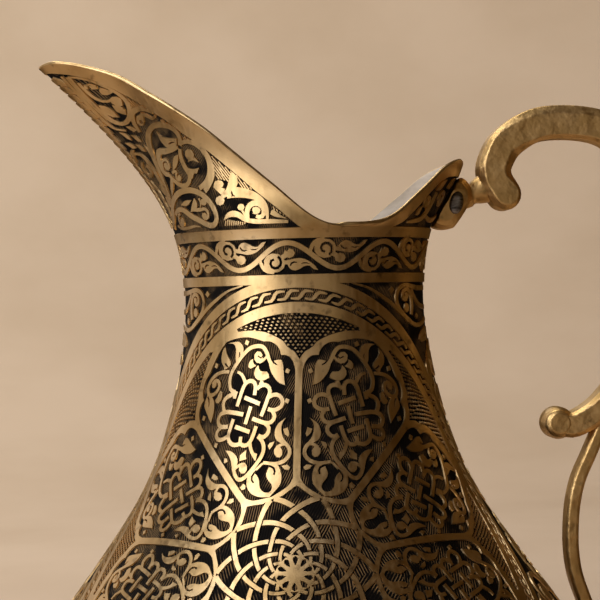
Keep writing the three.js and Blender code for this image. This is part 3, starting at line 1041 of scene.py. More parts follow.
# One wave of the vine, from crest to crest, with the bay above it and the bay below it.
def waveDrawing():
    x = np.linspace(-vine["wave"] / 2, vine["wave"] / 2, 40)
    z = -vine["swing"] * np.cos(2 * math.pi * x / vine["wave"])
    d = bayDrawing()
    below = moved(bayDrawing(), lambda p: p * (1, -1) + (vine["wave"] / 2, 0))
    d += below + moved(below, lambda p: p - (vine["wave"], 0))
    d += stroke(np.stack([x, z], -1), vine["stem"])
    return d


# Node tree that repeats a piece in equal turns round the axis.
def equalTurns():
    tree = bpy.data.node_groups.new("equalTurns", "GeometryNodeTree")
    sockets = {}
    for name, way, kind in (
        ("Piece", "INPUT", "NodeSocketGeometry"),
        ("Turns", "INPUT", "NodeSocketInt"),
        ("Finish", "INPUT", "NodeSocketMaterial"),
        ("Ring", "OUTPUT", "NodeSocketGeometry"),
    ):
        sockets[name] = tree.interface.new_socket(name, in_out=way, socket_type=kind).identifier
    given = tree.nodes.new("NodeGroupInput")
    ring = tree.nodes.new("NodeGroupOutput")
    points = tree.nodes.new("GeometryNodePoints")
    index = tree.nodes.new("GeometryNodeInputIndex")
    step = addNode(tree, "ShaderNodeMath", operation="DIVIDE")
    step.inputs[0].default_value = 2 * math.pi
    turn = addNode(tree, "ShaderNodeMath", operation="MULTIPLY")
    angles = tree.nodes.new("ShaderNodeCombineXYZ")
    turned = tree.nodes.new("FunctionNodeEulerToRotation")
    copies = tree.nodes.new("GeometryNodeInstanceOnPoints")
    real = tree.nodes.new("GeometryNodeRealizeInstances")
    finish = tree.nodes.new("GeometryNodeSetMaterial")
    for source, target in (
        (given.outputs["Turns"], points.inputs["Count"]),
        (given.outputs["Turns"], step.inputs[1]),
        (step.outputs[0], turn.inputs[0]),
        (index.outputs[0], turn.inputs[1]),
        (turn.outputs[0], angles.inputs["Z"]),
        (angles.outputs[0], turned.inputs[0]),
        (points.outputs[0], copies.inputs["Points"]),
        (given.outputs["Piece"], copies.inputs["Instance"]),
        (turned.outputs[0], copies.inputs["Rotation"]),
        (copies.outputs[0], real.inputs[0]),
        (real.outputs[0], finish.inputs["Geometry"]),
        (given.outputs["Finish"], finish.inputs["Material"]),
        (finish.outputs[0], ring.inputs["Ring"]),
    ):
        tree.links.new(source, target)
    return tree, sockets


turnsTree, turnsSockets = equalTurns()


# Vine round the jug: one wave laid on the surface and repeated by the node tree, then kept as a plain mesh.
def vineRing(name, chart, radius, middle, start, waves, high):
    flat, cut = cutBrass(waveDrawing())
    cut = cut[np.abs(flat[cut].mean(1)[:, 0]) <= vine["wave"] / 2]
    wide = 2 * math.pi * radius / (waves * vine["wave"])
    piece = layBrass(name, [(flat * (wide, high) + (start, middle), cut, chart, False)])
    repeat = piece.modifiers.new("equalTurns", "NODES")
    repeat.node_group = turnsTree
    repeat[turnsSockets["Turns"]] = waves
    repeat[turnsSockets["Finish"]] = engravedBrass
    keepResult(piece)
    print(name, len(piece.data.polygons), "faces after repeating")
    return piece


def bowlChart(u, v, depth):
    return bodyPoint(u / vine["bowlRound"] - math.pi / 2, v, depth)


def ringDrawing(low, high):
    edge = math.pi * neckRound
    return patch([(-edge, low), (edge, low), (edge, high), (-edge, high)])


def neckBands():
    place = (vine["neckMiddle"], vine["neckStart"], vine["neckWaves"])
    piece = vineRing("neckVine", bodyChart, neckRound, *place, 1.0)
    rideAs(piece, "upper_body")
    cuts = [(*cutBrass(ringDrawing(low, high)), bodyChart, False) for low, high in vine["rings"]]
    rideAs(layBrass("plainRings", cuts), "upper_body")
    place = (vine["bowlMiddle"], 0.0, vine["bowlWaves"])
    piece = vineRing("bowlVine", bowlChart, vine["bowlRound"], *place, vine["bowlScale"])
    rideAs(piece, "lower_bowl")


neckBands()
print("neck and bowl bands made")

cornerMirror = -9.6  # moves the spout side's corner, turned over, to the handle side


# Corner between the neck ring and the medallion, drawn for the spout side of the near face.
def cornerDrawing():
    d = stroke(
        [(-19.5, 180.8), (-24, 179.6), (-28, 177.6), (-32, 175.3), (-36, 172.6), (-40, 170.4),
         (-44, 169.6), (-48, 170.2), (-52, 171.2)],
        0.3, 1.0, 1.05, 1.0,
    )
    d += stroke(
        [(-52, 179.4), (-46, 179.3), (-41.5, 179.7), (-37.8, 180.1), (-35, 179.2), (-33.9, 177),
         (-34.6, 174.5), (-37, 172.3), (-40, 170.6)],
        1.2, 1.15, 1.1, 1.0,
    )
    d += stroke(
        [(-40.6, 172.4), (-41.2, 175), (-40.7, 177.5), (-39.1, 178.9), (-37.2, 178.7), (-36.5, 177.4),
         (-37.3, 176.3), (-38.5, 176.6)],
        1.3, 1.3, 1.0, 1.1,
    )
    d += blob(-38.2, 174.2, 1.15, 1.25) + blob(-38.4, 177.3, 0.9)
    d += stroke([(-52, 174.3), (-48, 174.6), (-45, 175.5), (-42.8, 177.1), (-41, 179.2)], 1.2, 1.0, 0.9)
    d += diamond(-32, 178.9, 1.9, 1.8) + diamond(-43.6, 172, 2.0, 1.7)
    d += blade(
        [(-52, 169.2), (-48.5, 168.6), (-45.6, 167.6), (-43.9, 165.9)],
        [(-52, 165.6), (-48.6, 165.4), (-45.8, 165.2), (-43.9, 165.9)],
    )
    d += stroke([(-51.5, 167.4), (-48.6, 167.0), (-46.4, 166.4)], 0.5, 0.4, 0.15, tone=darkTone)
    d += blade(
        [(-52, 163.6), (-49.5, 162.9), (-47.2, 161.2)],
        [(-52, 160.6), (-49.4, 160.4), (-47.2, 161.2)],
    )
    return d


def corners():
    flat, cut = cutBrass(cornerDrawing())
    other = flat * (-1, 1) + (cornerMirror, 0)
    cuts = bothSides(flat, cut, bodyChart) + bothSides(other, cut[:, ::-1], bodyChart)
    rideAs(layBrass("neckCorners", cuts), "upper_body")


corners()

# Scrolls that fill the body between the two medallions, below the corners.
between = {
    "spout": [
        (152, 0.42), (144, 0.4), (122, 0.36), (111, 0.4), (99, 0.42), (88, 0.42), (77, 0.45), (66, 0.46),
        (55, 0.36),
    ],
    "handle": [
        (160, 0.36), (150, 0.4), (139, 0.42), (127, 0.44), (113, 0.45), (99, 0.45), (84, 0.45),
        (69, 0.45), (56, 0.36),
    ],
    "stem": 1.3,
    "spoutStem": (51, 128),
    "handleStem": (52, 164),
    "spread": 14.0,
    "largest": 6.0,
    "least": 1.2,
    "winding": 470.0,  # degrees that a scroll winds in
    "windTo": 0.32,
    "eye": 0.36,
    "clear": 1.2,  # kept free beside the medallion's ring
}


# Room between the middle plane and the medallion at a height, measured along the surface.
def roomBeside(planeTurn):
    aim = np.radians(np.linspace(-179, 179, 240))
    reach = np.full_like(aim, medallion["ringOuter"] + between["clear"])
    place, _ = medallionChart(reach * np.sin(aim), reach * np.cos(aim), 0.0)
    turn = np.degrees(np.arctan2(place[:, 0], -place[:, 1]))
    near = turn * planeTurn > 0
    order = np.argsort(place[near, 2])
    z, turn = place[near, 2][order], turn[near][order]
    away = np.radians(np.abs(planeTurn - turn))
    return lambda height: np.interp(height, z, away) * hermite(body["knots"], height)[0]


# Rows of scrolls from the middle plane out to the medallion, as many in a row as fit.
def scrollColumn(planeTurn, rows, stem):
    room = roomBeside(planeTurn)
    d = []
    for i, (z, share) in enumerate(rows):
        width = float(room(z))
        count = max(1, int(width / between["spread"]))
        pitch = width / count
        r = max(between["least"], min(share * pitch, between["largest"]))
        for k in range(count):
            x = min(r + 1.2, pitch / 2) + k * pitch
            up = 1 if (i + k) % 2 else -1
            d += curl(x, z, r, between["windTo"] * r, 180, 180 + up * between["winding"], 1.2, 1.1, 0.9)
            d += blob(x, z, between["eye"] * r)
            root = [(x - r - 0.9, z - up * r * 1.2), (x - r - 0.6, z - up * r * 0.5), (x - r, z)]
            d += stroke(root, 0.9, 1.1, 1.2)
            tip = (min((k + 1) * pitch - 1.0, x + 1.9 * r), z + up * 1.1 * r)
            d += blade(
                [(x + 0.9 * r, z + up * 0.3 * r), (x + 1.1 * r, z + up * 0.9 * r), tip],
                [(x + r, z - up * 0.2 * r), (x + 1.5 * r, z + up * 0.2 * r), tip],
            )
            d += diamond(max(1.4, x - 0.2 * r), z + up * 1.35 * r, 1.5, 1.8)
    low, high = stem
    half = between["stem"] / 2
    d += patch([(-0.02, low), (half, low), (half, high), (-0.02, high)])
    return d


def betweenScrolls(name, planeTurn, rows, stem):
    flat, cut = cutBrass(scrollColumn(planeTurn, rows, stem))
    base = math.radians(planeTurn - 90)
    hand = -1 if planeTurn > 0 else 1

    def chart(u, v, depth):
        r, _ = hermite(body["knots"], v)
        return bodyPoint(base + hand * u / r, v, depth)

    rideAs(layBrass(name, bothSides(flat, cut, chart, hand < 0)), "upper_body")


betweenScrolls("spoutScrolls", -90, between["spout"], between["spoutStem"])
betweenScrolls("handleScrolls", 90, between["handle"], between["handleStem"])
print("corners and side scrolls made")


# Ornament of the lip, drawn by turn from the spout in degrees and by height, for the near side.
lipArt = {
    "degree": 0.62,  # millimetres drawn for a degree of turn
    "bold": 1.15,  # makes every line of the lip a little wider
    "edge": [  # lower edge of the plain band along the rim
        (0, 238.6), (3, 238.4), (6, 237.6), (10, 235.8), (13, 233.6), (15, 231.9), (20, 228.7),
        (25, 226), (30, 223.5), (37, 219.5), (46, 215.1), (55, 210.2), (65, 204.8), (75, 199.8),
        (81, 196.6), (84, 195.0), (127, 195.0), (132, 196.2), (140, 200.3), (147, 204.2), (153, 206.8),
        (160, 208.4), (170, 209), (180, 209),
    ],
}


def lipShare(turn, z):
    low, high = np.zeros_like(z), np.ones_like(z)
    for _ in range(26):
        middle = (low + high) / 2
        under = lipSpot(turn, middle)[..., 2] < z
        low, high = np.where(under, middle, low), np.where(under, high, middle)
    return (low + high) / 2


def lipChart(u, v, depth):
    turn = u / lipArt["degree"]
    top = hermite(rimHeight, np.abs(turn))[0]
    return lipPoint(turn, lipShare(turn, np.minimum(v, top)), depth)


def onLip(points):
    return np.asarray(points, float) * (lipArt["degree"], 1)


def lipStroke(points, *widths, tone=brassTone):
    return stroke(onLip(points), *(width * lipArt["bold"] for width in widths), tone=tone)


def lipBlade(left, right, tone=brassTone):
    return blade(onLip(left), onLip(right), tone)


def lipBlob(turn, z, across, high=None, tone=brassTone):
    return blob(turn * lipArt["degree"], z, across, high, tone=tone)


def lipCurl(turn, z, *settings, tone=brassTone):
    return curl(turn * lipArt["degree"], z, *settings, tone=tone)


# Plain band along the rim, from its lower edge up to the rim.
def rimDrawing():
    turn = np.concatenate([np.linspace(0, 40, 60), np.linspace(41, 180, 110)])
    top = hermite(rimHeight, turn)[0] - 0.3
    edge = np.array(lipArt["edge"])
    low = np.interp(turn, edge[:, 0], edge[:, 1])
    low = np.minimum(np.maximum(low, body["collar"]), top - 0.2)
    line = np.concatenate([np.stack([turn, low], -1), np.stack([turn, top], -1)[::-1]])
    return patch(onLip(line))


# Long leaf-filled loop below the tip of the spout, the lines along the keel and the leaves beside them.
def spoutTip():
    d = lipStroke(
        [(5.4, 237), (7.5, 236.5), (10.5, 234.9), (13.3, 232.6), (14.9, 230.4), (14.7, 228.3), (13, 226),
         (10.6, 224.6), (8, 224.5), (6.2, 226), (5.3, 229), (5, 233), (5.4, 237)],
        0.4, 0.8, 0.9, 0.6,
    )
    d += lipStroke(
        [(6.4, 235.4), (6.6, 232.4), (7.6, 230.6), (9.8, 230.2), (12, 230.9)],
        0.3, 0.45, 0.55, 0.5,
    )
    d += lipCurl(8.5, 234, 1.0, 0.4, 200, -140, 0.4, 0.5, 0.5) + lipBlob(8.6, 234.1, 0.45)
    d += lipBlade([(9.4, 232.8), (10.4, 233.7), (13.2, 232.3)], [(9.4, 232.0), (11, 231.7), (13.2, 232.3)])
    d += lipBlade(
        [(10.6, 230.7), (12.2, 231.2), (13.9, 230.6), (13, 228.8)],
        [(10.2, 229.7), (11.4, 228.6), (13, 228.8)],
    )
    d += lipBlade([(6.2, 228.2), (7.0, 226.5), (9.4, 226.0)], [(6.5, 229.6), (8.4, 228.7), (9.4, 226.0)])
    d += lipBlade(
        [(9.9, 229.2), (9.9, 227.4), (12.2, 226.4)],
        [(10.9, 229.0), (12.8, 228.2), (12.2, 226.4)],
    )
    d += lipStroke(
        [(4.1, 237.4), (3.9, 233), (3.9, 229), (4.4, 225.4), (5.6, 223.4), (8.6, 222.6)],
        0.3, 0.5, 0.55, 0.4,
    )
    for z in np.arange(237, 198, -2.1):
        tip = (3.8, z - 2.3)
        d += lipBlade([(0.3, z), (2.5, z + 0.3), tip], [(0.3, z - 0.3), (1.3, z - 1.5), tip])
    smallLeaves = [  # root and tip
        ((6.2, 222.4), (8.4, 220)),
        ((9.4, 223.6), (12.6, 222.4)),
        ((9.2, 221.4), (12.2, 219.4)),
        ((5.4, 219.6), (8.4, 218)),
        ((8.8, 219), (11.6, 216.8)),
        ((12.4, 218.6), (13.2, 215.4)),
        ((4.4, 216.6), (7, 217.6)),
    ]
    for root, tip in smallLeaves:
        bulge = (tip[1] - root[1]) * 0.35
        turn, z = (root[0] + tip[0]) / 2, (root[1] + tip[1]) / 2
        d += lipBlade([root, (turn - bulge, z + 0.5), tip], [root, (turn - bulge * 0.2, z - 0.9), tip])
    d += lipStroke(
        [(4.2, 214.4), (5.4, 216.4), (8.2, 216.3), (10, 214.4), (11.8, 211), (13.4, 207.4), (15.2, 204),
         (17, 202.4)],
        0.4, 0.8, 1.0, 0.9,
    )
    d += lipStroke(
        [(7.2, 214.4), (5.8, 212.8), (6.4, 210.8), (8.4, 210.6), (9.4, 212.2), (8.2, 213.4)],
        0.4, 0.7, 0.7,
    )
    for turn, z in ((6.2, 208), (8.2, 205.4), (9.8, 202.6), (11.2, 200.2), (12.4, 206.6), (13.8, 203.4)):
        root, tip = (turn - 1.6, z + 1.6), (turn + 1.8, z - 1.8)
        d += lipBlade([root, (turn - 0.2, z + 1.3), tip], [root, (turn - 0.9, z - 0.6), tip])
    d += lipStroke([(5.4, 199), (9, 197.4), (13.6, 198.4), (17, 201.6)], 0.5, 0.8, 0.9)
    return d


# Small scroll that hangs from the rim band between the long loop and the double loop.
def rimScroll():
    d = lipStroke(
        [(13.2, 221.8), (13.2, 224.6), (14.4, 226.6), (17.4, 227.5), (20.6, 227.2), (24.4, 226)],
        0.5, 0.9, 1.1, 0.6,
    )
    d += lipBlade(
        [(18.4, 226.4), (17.4, 224.4), (15.6, 223.2), (14.2, 224)],
        [(18.4, 226.4), (16.6, 226.0), (15, 225.6), (14.2, 224)],
    )
    d += lipStroke([(17.6, 226.2), (20, 225.6), (22.6, 224.6), (24.8, 225.2)], 0.8, 0.7, 0.5)
    d += lipBlob(16, 224.3, 0.45, 0.5, darkTone)
    return d


# Double loop: a tall left lobe and a round right lobe, each with its own leaves.
def doubleLoop():
    d = lipStroke(
        [(17.2, 203.2), (15.6, 207), (14.4, 211.5), (14.2, 216), (15.2, 219.6), (17.8, 221.9),
         (21.5, 222.9), (26, 222.8), (30, 222.1), (32.8, 220.6), (33.4, 218.6), (32.4, 217.2)],
        0.5, 1.0, 1.15, 1.2, 1.1,
    )
    d += lipStroke(
        [(32.6, 217.6), (36.5, 218), (40.4, 217.3), (43.6, 215.5), (45.6, 212.9), (45.4, 209.9),
         (43, 207.5), (39, 206)],
        0.8, 1.2, 1.5, 1.1,
    )
    d += lipStroke([(44.4, 215.2), (46.6, 212), (46.4, 208.8), (43.6, 206.2), (41.6, 205.2)], 0.5, 0.9, 1.2)
    d += lipBlade(
        [(21.4, 221.4), (22.8, 220.2), (26, 219.5), (31.6, 219)],
        [(21.4, 221.4), (21.8, 219.2), (23.6, 217.5), (26, 216.6), (28, 216.9), (30.4, 217.2),
         (31.6, 219)],
    )
    d += lipStroke([(26, 217.9), (28, 218.2), (30, 218.2)], 0.1, 0.45, 0.1, tone=darkTone)
    d += lipStroke(
        [(31, 216.9), (27, 216.4), (22, 216.3), (18.6, 216.4), (16.8, 214.8), (16.6, 212.4), (18, 210.7),
         (21, 210.3)],
        0.7, 1.2, 1.5, 1.2, 1.0,
    )
    d += lipCurl(20.4, 212.7, 1.9, 0.9, 200, -120, 0.7, 0.8, 0.7) + lipBlob(20.2, 212.6, 0.95)
    d += lipBlade(
        [(24.4, 211.2), (25.4, 213), (27.2, 214.6), (30, 215)],
        [(24.4, 211.2), (27, 212), (28.8, 213.2), (30, 215)],
    )
    d += lipStroke(
        [(20.6, 210.2), (23.2, 208.8), (26.6, 207.5), (30.4, 207), (33.2, 207.8), (34.4, 209.6),
         (32.2, 212), (31.2, 214.4), (31.8, 216.4)],
        0.8, 1.0, 1.1, 1.3, 1.0,
    )
    d += lipCurl(27.4, 209.4, 1.35, 0.5, 110, 420, 0.7, 0.7, 0.6) + lipBlob(27.4, 209.2, 0.6)
    d += lipStroke([(23.4, 210.6), (25, 211), (26.8, 210.8)], 0.6, 0.7, 0.5)
    d += lipBlade(
        [(18.6, 204.2), (19.2, 207), (21.2, 209.6)],
        [(18.6, 204.2), (21, 206.4), (22.8, 208.8), (21.2, 209.6)],
    )
    d += lipBlob(36.4, 214.7, 1.5, 1.45)
    d += lipBlade(
        [(34.6, 212.8), (37.4, 213.2), (40.8, 212.4)],
        [(37.2, 215.8), (38.4, 214.2), (40.8, 212.4)],
    )
    d += lipCurl(36.2, 214.8, 1.9, 1.7, 210, -40, 0.5, 0.45, 0.2, tone=darkTone)
    d += lipBlade(
        [(33, 211.6), (36.8, 211), (40.2, 211.2)],
        [(33, 210), (35.4, 208.4), (37, 210), (38.2, 209.6), (40.2, 211.2)],
    )
    d += lipStroke([(34.6, 211.8), (36.6, 211.9), (39.6, 211.6)], 0.3, 0.35, 0.15, tone=darkTone)
    d += lipBlob(35, 217.0, 0.5, 0.4, darkTone)
    return d


# Low round loop beside the keel, with a leaf that curls back inside it.
def lowLoop():
    d = lipStroke(
        [(10, 196.4), (13.4, 199.4), (16.6, 202.2), (21, 204.3), (27, 205.6), (34, 205.7), (39.4, 204.6),
         (43.6, 202.6), (46.4, 199.8), (46.6, 197.6), (44.4, 196.4), (41, 196.7), (36.6, 197.9),
         (31.4, 199.2), (26, 200.9), (21.4, 201), (17.8, 200)],
        0.9, 1.5, 1.3, 1.2, 1.2, 1.3, 0.9,
    )
    d += lipBlade([(25, 202.2), (28.6, 203.2), (33.4, 203.2)], [(25, 202.2), (29.6, 201.9), (33.4, 203.2)])
    d += lipBlade(
        [(31.6, 200.2), (33.2, 202), (35.2, 203.7)],
        [(31.6, 200.2), (35.4, 200.6), (36.6, 202.2), (35.2, 203.7)],
    )
    d += lipBlob(40.6, 202.5, 1.15, 0.95)
    d += lipBlade([(37.4, 203.4), (38.4, 202.4), (38, 200.8)], [(38.6, 203.6), (39.2, 202), (38, 200.8)])
    d += lipCurl(40.4, 199.2, 1.7, 0.6, 130, -230, 0.8, 0.8, 0.7) + lipBlob(40.4, 199, 0.75)
    d += lipStroke([(33.8, 200.6), (36.4, 200.6), (38.8, 200.6)], 0.5, 0.9, 0.7)
    d += lipCurl(22.6, 198.2, 1.9, 0.8, 90, 430, 0.8, 0.85, 0.8) + lipBlob(22.6, 198, 0.8)
    d += lipStroke([(17, 197), (21, 196.2), (27, 196.2), (33, 196.5), (36.6, 196.2)], 0.5, 0.7, 0.6, 0.2)
    return d


# Half palmette and the scroll that runs out to the point below the rim band.
def longScroll():
    d = lipBlade(
        [(50.6, 203.6), (53, 206), (55, 209.6), (57.6, 208.4)],
        [(52.6, 203.6), (56, 205), (57.8, 206.6), (57.6, 208.4)],
    )
    d += lipBlob(49, 206.7, 1.5, 1.05)
    d += lipStroke([(46.6, 206.4), (49, 205.4), (51.2, 204.6)], 0.6, 1.2, 1.6)
    d += lipBlob(49.2, 202.5, 1.4, 1.25) + lipStroke([(50, 203.2), (52, 204.2), (55, 204.6)], 0.8, 1.4, 2.0)
    d += lipStroke(
        [(52.6, 204.2), (57, 204.4), (62, 203.9), (66.4, 202.8), (69.4, 200.8), (70.4, 198.4),
         (70.2, 197)],
        2.2, 2.3, 1.9, 1.4, 1.0, 0.5,
    )
    d += lipStroke([(54.6, 204.5), (55.4, 203.7), (56.4, 203.4)], 0.15, 0.5, 0.15, tone=darkTone)
    d += lipStroke([(54.8, 203.2), (55.2, 204), (54.8, 204.9)], 0.15, 0.4, 0.1, tone=darkTone)
    d += lipBlade(
        [(50.4, 197.4), (52.2, 199.2), (55.4, 199.8), (58.6, 199.2), (61.4, 197.9), (66, 197.4),
         (72, 197.3), (79, 196.9)],
        [(50.4, 197.4), (53.4, 198.2), (57, 198.1), (60.4, 196.9), (65, 196.3), (71, 196.2),
         (79, 196.2)],
    )
    d += lipStroke(
        [(62, 197.2), (61.6, 199.4), (63, 201), (65.8, 201.5), (68.4, 200.6), (69, 199), (67.6, 197.9),
         (65.6, 198.2)],
        0.9, 1.2, 1.3, 1.1, 0.8,
    )
    d += lipBlob(65.4, 199.6, 1.3, 0.95) + lipBlob(59, 200.6, 1.0, 0.85)
    d += lipStroke([(59.4, 199.8), (60.6, 198.6), (61.4, 197.6)], 0.5, 0.5, 0.6)
    d += lipStroke([(64.2, 199.0), (63.6, 199.8), (64.2, 200.6)], 0.3, 0.4, 0.2, tone=darkTone)
    d += lipBlade(
        [(71.6, 198.6), (72.6, 199.8), (75, 198.6), (78.6, 197.3)],
        [(71.6, 198.6), (73.6, 197.9), (78.6, 197.3)],
    )
    d += lipStroke([(51.4, 208.6), (50.6, 210), (49.8, 211.8)], 0.35, 0.3, 0.1)
    return d


# Fine ribs left standing side by side inside an outline.
def ribs(outline, step, lean, width):
    p = onLip(outline)
    along = np.array([math.cos(math.radians(lean)), math.sin(math.radians(lean))])
    across = np.array([-along[1], along[0]])
    away = p @ across
    d = []
    for offset in np.arange(away.min() + step / 2, away.max(), step):
        hits = []
        for a, b, da, db in zip(p, np.roll(p, -1, axis=0), away - offset, np.roll(away, -1) - offset):
            if da * db < 0:
                hits.append(float((a + (b - a) * da / (da - db)) @ along))
        hits.sort()
        for first, last in zip(hits[::2], hits[1::2]):
            d += stroke([along * first + across * offset, along * last + across * offset], width)
    return d


# Hatching in the gaps below the rim band.
def hatchedGaps():
    d = ribs(
        [(15.6, 230.6), (25.6, 224.9), (20, 227.6), (16, 227.9), (14.6, 226.9), (15, 229.4)],
        0.52, 108, 0.28,
    )
    d += ribs([(27, 224.4), (35.4, 219.8), (33.6, 221), (30, 222.8), (26.4, 223.4)], 0.52, 112, 0.28)
    d += ribs([(36, 219.4), (44.6, 215.5), (42, 217), (38, 218.4), (35, 218.6)], 0.52, 112, 0.28)
    d += ribs(
        [(47, 213.9), (55, 209.7), (64.4, 204.9), (60, 205), (58.2, 206.6), (57.9, 208.4), (55, 210),
         (53.4, 207.2), (51.2, 207.8), (48.4, 208), (47.6, 210)],
        0.56, 125, 0.3,
    )
    d += ribs([(72, 200.8), (79, 197.5), (75, 198.9), (72.4, 200)], 0.5, 115, 0.25)
    d += ribs([(52.4, 197.6), (61, 196.7), (60, 196.1), (50.4, 196.1), (50.6, 197.2)], 0.62, 75, 0.3)
    return d


# Back lip: a small scroll under the band on each side of the bracket.
def backScroll():
    d = lipStroke(
        [(135, 196.2), (141, 196.6), (147, 197.6), (151.6, 200.4), (154, 204)],
        0.5, 1.1, 1.2, 0.8,
    )
    d += lipCurl(146.4, 201.2, 2.0, 0.8, -60, 280, 0.9, 0.9, 0.8) + lipBlob(146.4, 201, 0.9)
    d += lipBlade(
        [(140, 198), (141.6, 199.8), (143.4, 200.4)],
        [(140, 198), (142.4, 198.2), (143.4, 200.4)],
    )
    d += lipBlade([(152, 204.6), (155, 206.8), (160, 207.6)], [(152, 204.6), (156.6, 205), (160, 207.6)])
    d += lipCurl(162, 202.4, 2.3, 0.9, 180, -200, 1.0, 1.0, 0.8) + lipBlob(162, 202.2, 1.0)
    d += lipStroke([(150, 197.8), (156, 197), (163, 197.4), (169, 198.6)], 0.8, 1.1, 0.8)
    d += lipBlade([(164, 205.6), (168, 208), (172, 208.4)], [(164, 205.6), (169, 205.6), (172, 208.4)])
    return d


def lipOrnament():
    art = hatchedGaps() + spoutTip() + rimScroll() + doubleLoop() + lowLoop() + longScroll() + backScroll()
    for name, drawing in (("rimBand", rimDrawing()), ("lipScrolls", art)):
        rideAs(layBrass(name, bothSides(*cutBrass(drawing), lipChart)), "upper_body")


lipOrnament()
print("lip ornament made")


# Lathe of a section of (radius, height) points, one material number for each step of the section.
def lathePiece(name, section, materials, kinds):
    columns = 240
    angle = np.arange(columns) * 2 * math.pi / columns
    rows = [np.stack([r * np.cos(angle), r * np.sin(angle), np.full(columns, z)], -1) for r, z in section]
    faces = skinFaces(len(rows), columns, True)
    faceKinds = [kind for kind in kinds for _ in range(columns)]
    piece = makePiece(name, np.concatenate(rows), faces, materials, faceKinds)
    piece.data.set_sharp_from_angle(angle=math.radians(28))
    return piece


bowl = {
    "lapDepth": 1.6,
    "lapTop": 50.0,
    "edge": 46.0,
    "joggle": 44.0,
    "bandLow": 18.0,
    "bandHigh": 36.0,
    "eye": 0.02,  # keeps the middle of the bottom from closing to a point
}


# Lower bowl with a sunk band for the vine, and a set-in edge that goes behind the upper shell.
def lowerBowl():
    def at(z, depth):
        p, _ = bodyPoint(np.zeros(1), np.array([z]), depth)
        return p[0, 0], p[0, 2]

    low, high, wall, sunk = bowl["bandLow"], bowl["bandHigh"], body["wall"], body["relief"]
    steps = [(0, 0)]
    steps += [at(z, 0) for z in np.linspace(0, low, 14)]
    plain = len(steps) - 1
    steps += [at(z, sunk) for z in np.linspace(low, high, 14)]
    dark = len(steps) - 1
    steps += [at(z, 0) for z in np.linspace(high, bowl["edge"], 10)]
    steps += [at(z, bowl["lapDepth"]) for z in (bowl["edge"], bowl["lapTop"])]
    steps += [at(z, bowl["lapDepth"] + wall) for z in (bowl["lapTop"], bowl["edge"])]
    outside = len(steps) - 3
    inner = [at(z, wall) for z in np.linspace(bowl["joggle"], 1.5, 24)]
    steps += [p for p in inner if p[1] > wall]
    steps += [(at(0, wall)[0] - wall * body["knots"][0][2], wall), (0, wall)]
    steps = [(max(r, bowl["eye"]), z) for r, z in steps]
    kinds = [0] * len(steps)
    for i in range(plain + 1, dark):
        kinds[i] = 1
    for i in range(outside, len(steps) - 1):
        kinds[i] = 2
    piece = lathePiece("bowlShell", steps, [engravedBrass, darkGround, tin], kinds)
    mapGround(piece)
    rideAs(piece, "lower_bowl")


lowerBowl()

foot = {"radius": 63.0, "height": 7.0, "bead": 3.2, "step": 1.6, "gap": 0.3, "round": 6}


# Foot ring: a rounded bead on the table, a cove and a flat top against the bowl.
def footRing():
    def against(z):
        p, _ = bodyPoint(np.zeros(1), np.array([z]), -foot["gap"])
        return p[0, 0], p[0, 2]

    half = foot["bead"] / 2
    turns = np.linspace(-math.pi / 2, math.pi / 2, 2 * foot["round"])
    bead = [(foot["radius"] - half + half * math.cos(t), half + half * math.sin(t)) for t in turns]
    top = against(foot["height"])
    inward = foot["radius"] - foot["step"]
    cove = [(inward, foot["bead"] + 0.5), (max(top[0], inward) + 0.1, top[1] - 0.8)]
    inside = [top, against(foot["height"] / 2), (against(0)[0], 0)]
    section = bead + cove + inside
    piece = lathePiece("footRing", section, [castBrass], [0] * len(section))
    rideAs(piece, "foot_ring")


footRing()
print("bowl and foot made")


# Outline of a bar with round ends along a line in the XZ plane, by its reach to the left and the right.
def barOutline(line, left, right):
    along = np.gradient(line, axis=0)
    along /= np.linalg.norm(along, axis=1, keepdims=True)
    across = np.stack([-along[:, 1], along[:, 0]], -1)
    one, two = line + across * left[:, None], line - across * right[:, None]
    turns = np.linspace(0, math.pi, 12)[1:-1, None]

    def cap(end, sense):
        radius = sense * (left[end] + right[end]) / 2
        middle = (one[end] + two[end]) / 2
        return middle + radius * (np.cos(turns) * across[end] + np.sin(turns) * along[end])

    return np.concatenate([one, cap(-1, 1), two[::-1], cap(0, -1)])


# Closed skin over rings of points, with a flat face at each end.
def cappedPiece(name, rings, material):
    count = len(rings[0])
    faces = skinFaces(len(rings), count, False)
    faces += [tuple(range(count))[::-1], tuple(range((len(rings) - 1) * count, len(rings) * count))]
    piece = makePiece(name, np.concatenate(rings), faces, [material])
    shape = bmesh.new()
    shape.from_mesh(piece.data)
    bmesh.ops.recalc_face_normals(shape, faces=shape.faces)
    shape.to_mesh(piece.data)
    shape.free()
    return piece


# Rounds the edges a little, as filed metal has them, and keeps the result as a plain mesh.
def soften(piece, width):
    bevel = piece.modifiers.new("filedEdge", "BEVEL")
    bevel.width = width * mm
    bevel.segments = 2
    bevel.limit_method = "ANGLE"
    bevel.angle_limit = math.radians(24)
    bevel.harden_normals = True
    keepResult(piece)


# Plate of cast brass between outlines in the XZ plane, each at its own distance from the middle.
def platePiece(name, outlines, offsets, edge):
    sheets = list(zip(outlines, offsets))
    near = [np.insert(outline, 1, -y, axis=1) for outline, y in sheets]
    far = [np.insert(outline, 1, y, axis=1) for outline, y in sheets[::-1]]
    piece = cappedPiece(name, near + far, castBrass)
    soften(piece, edge)
    return piece


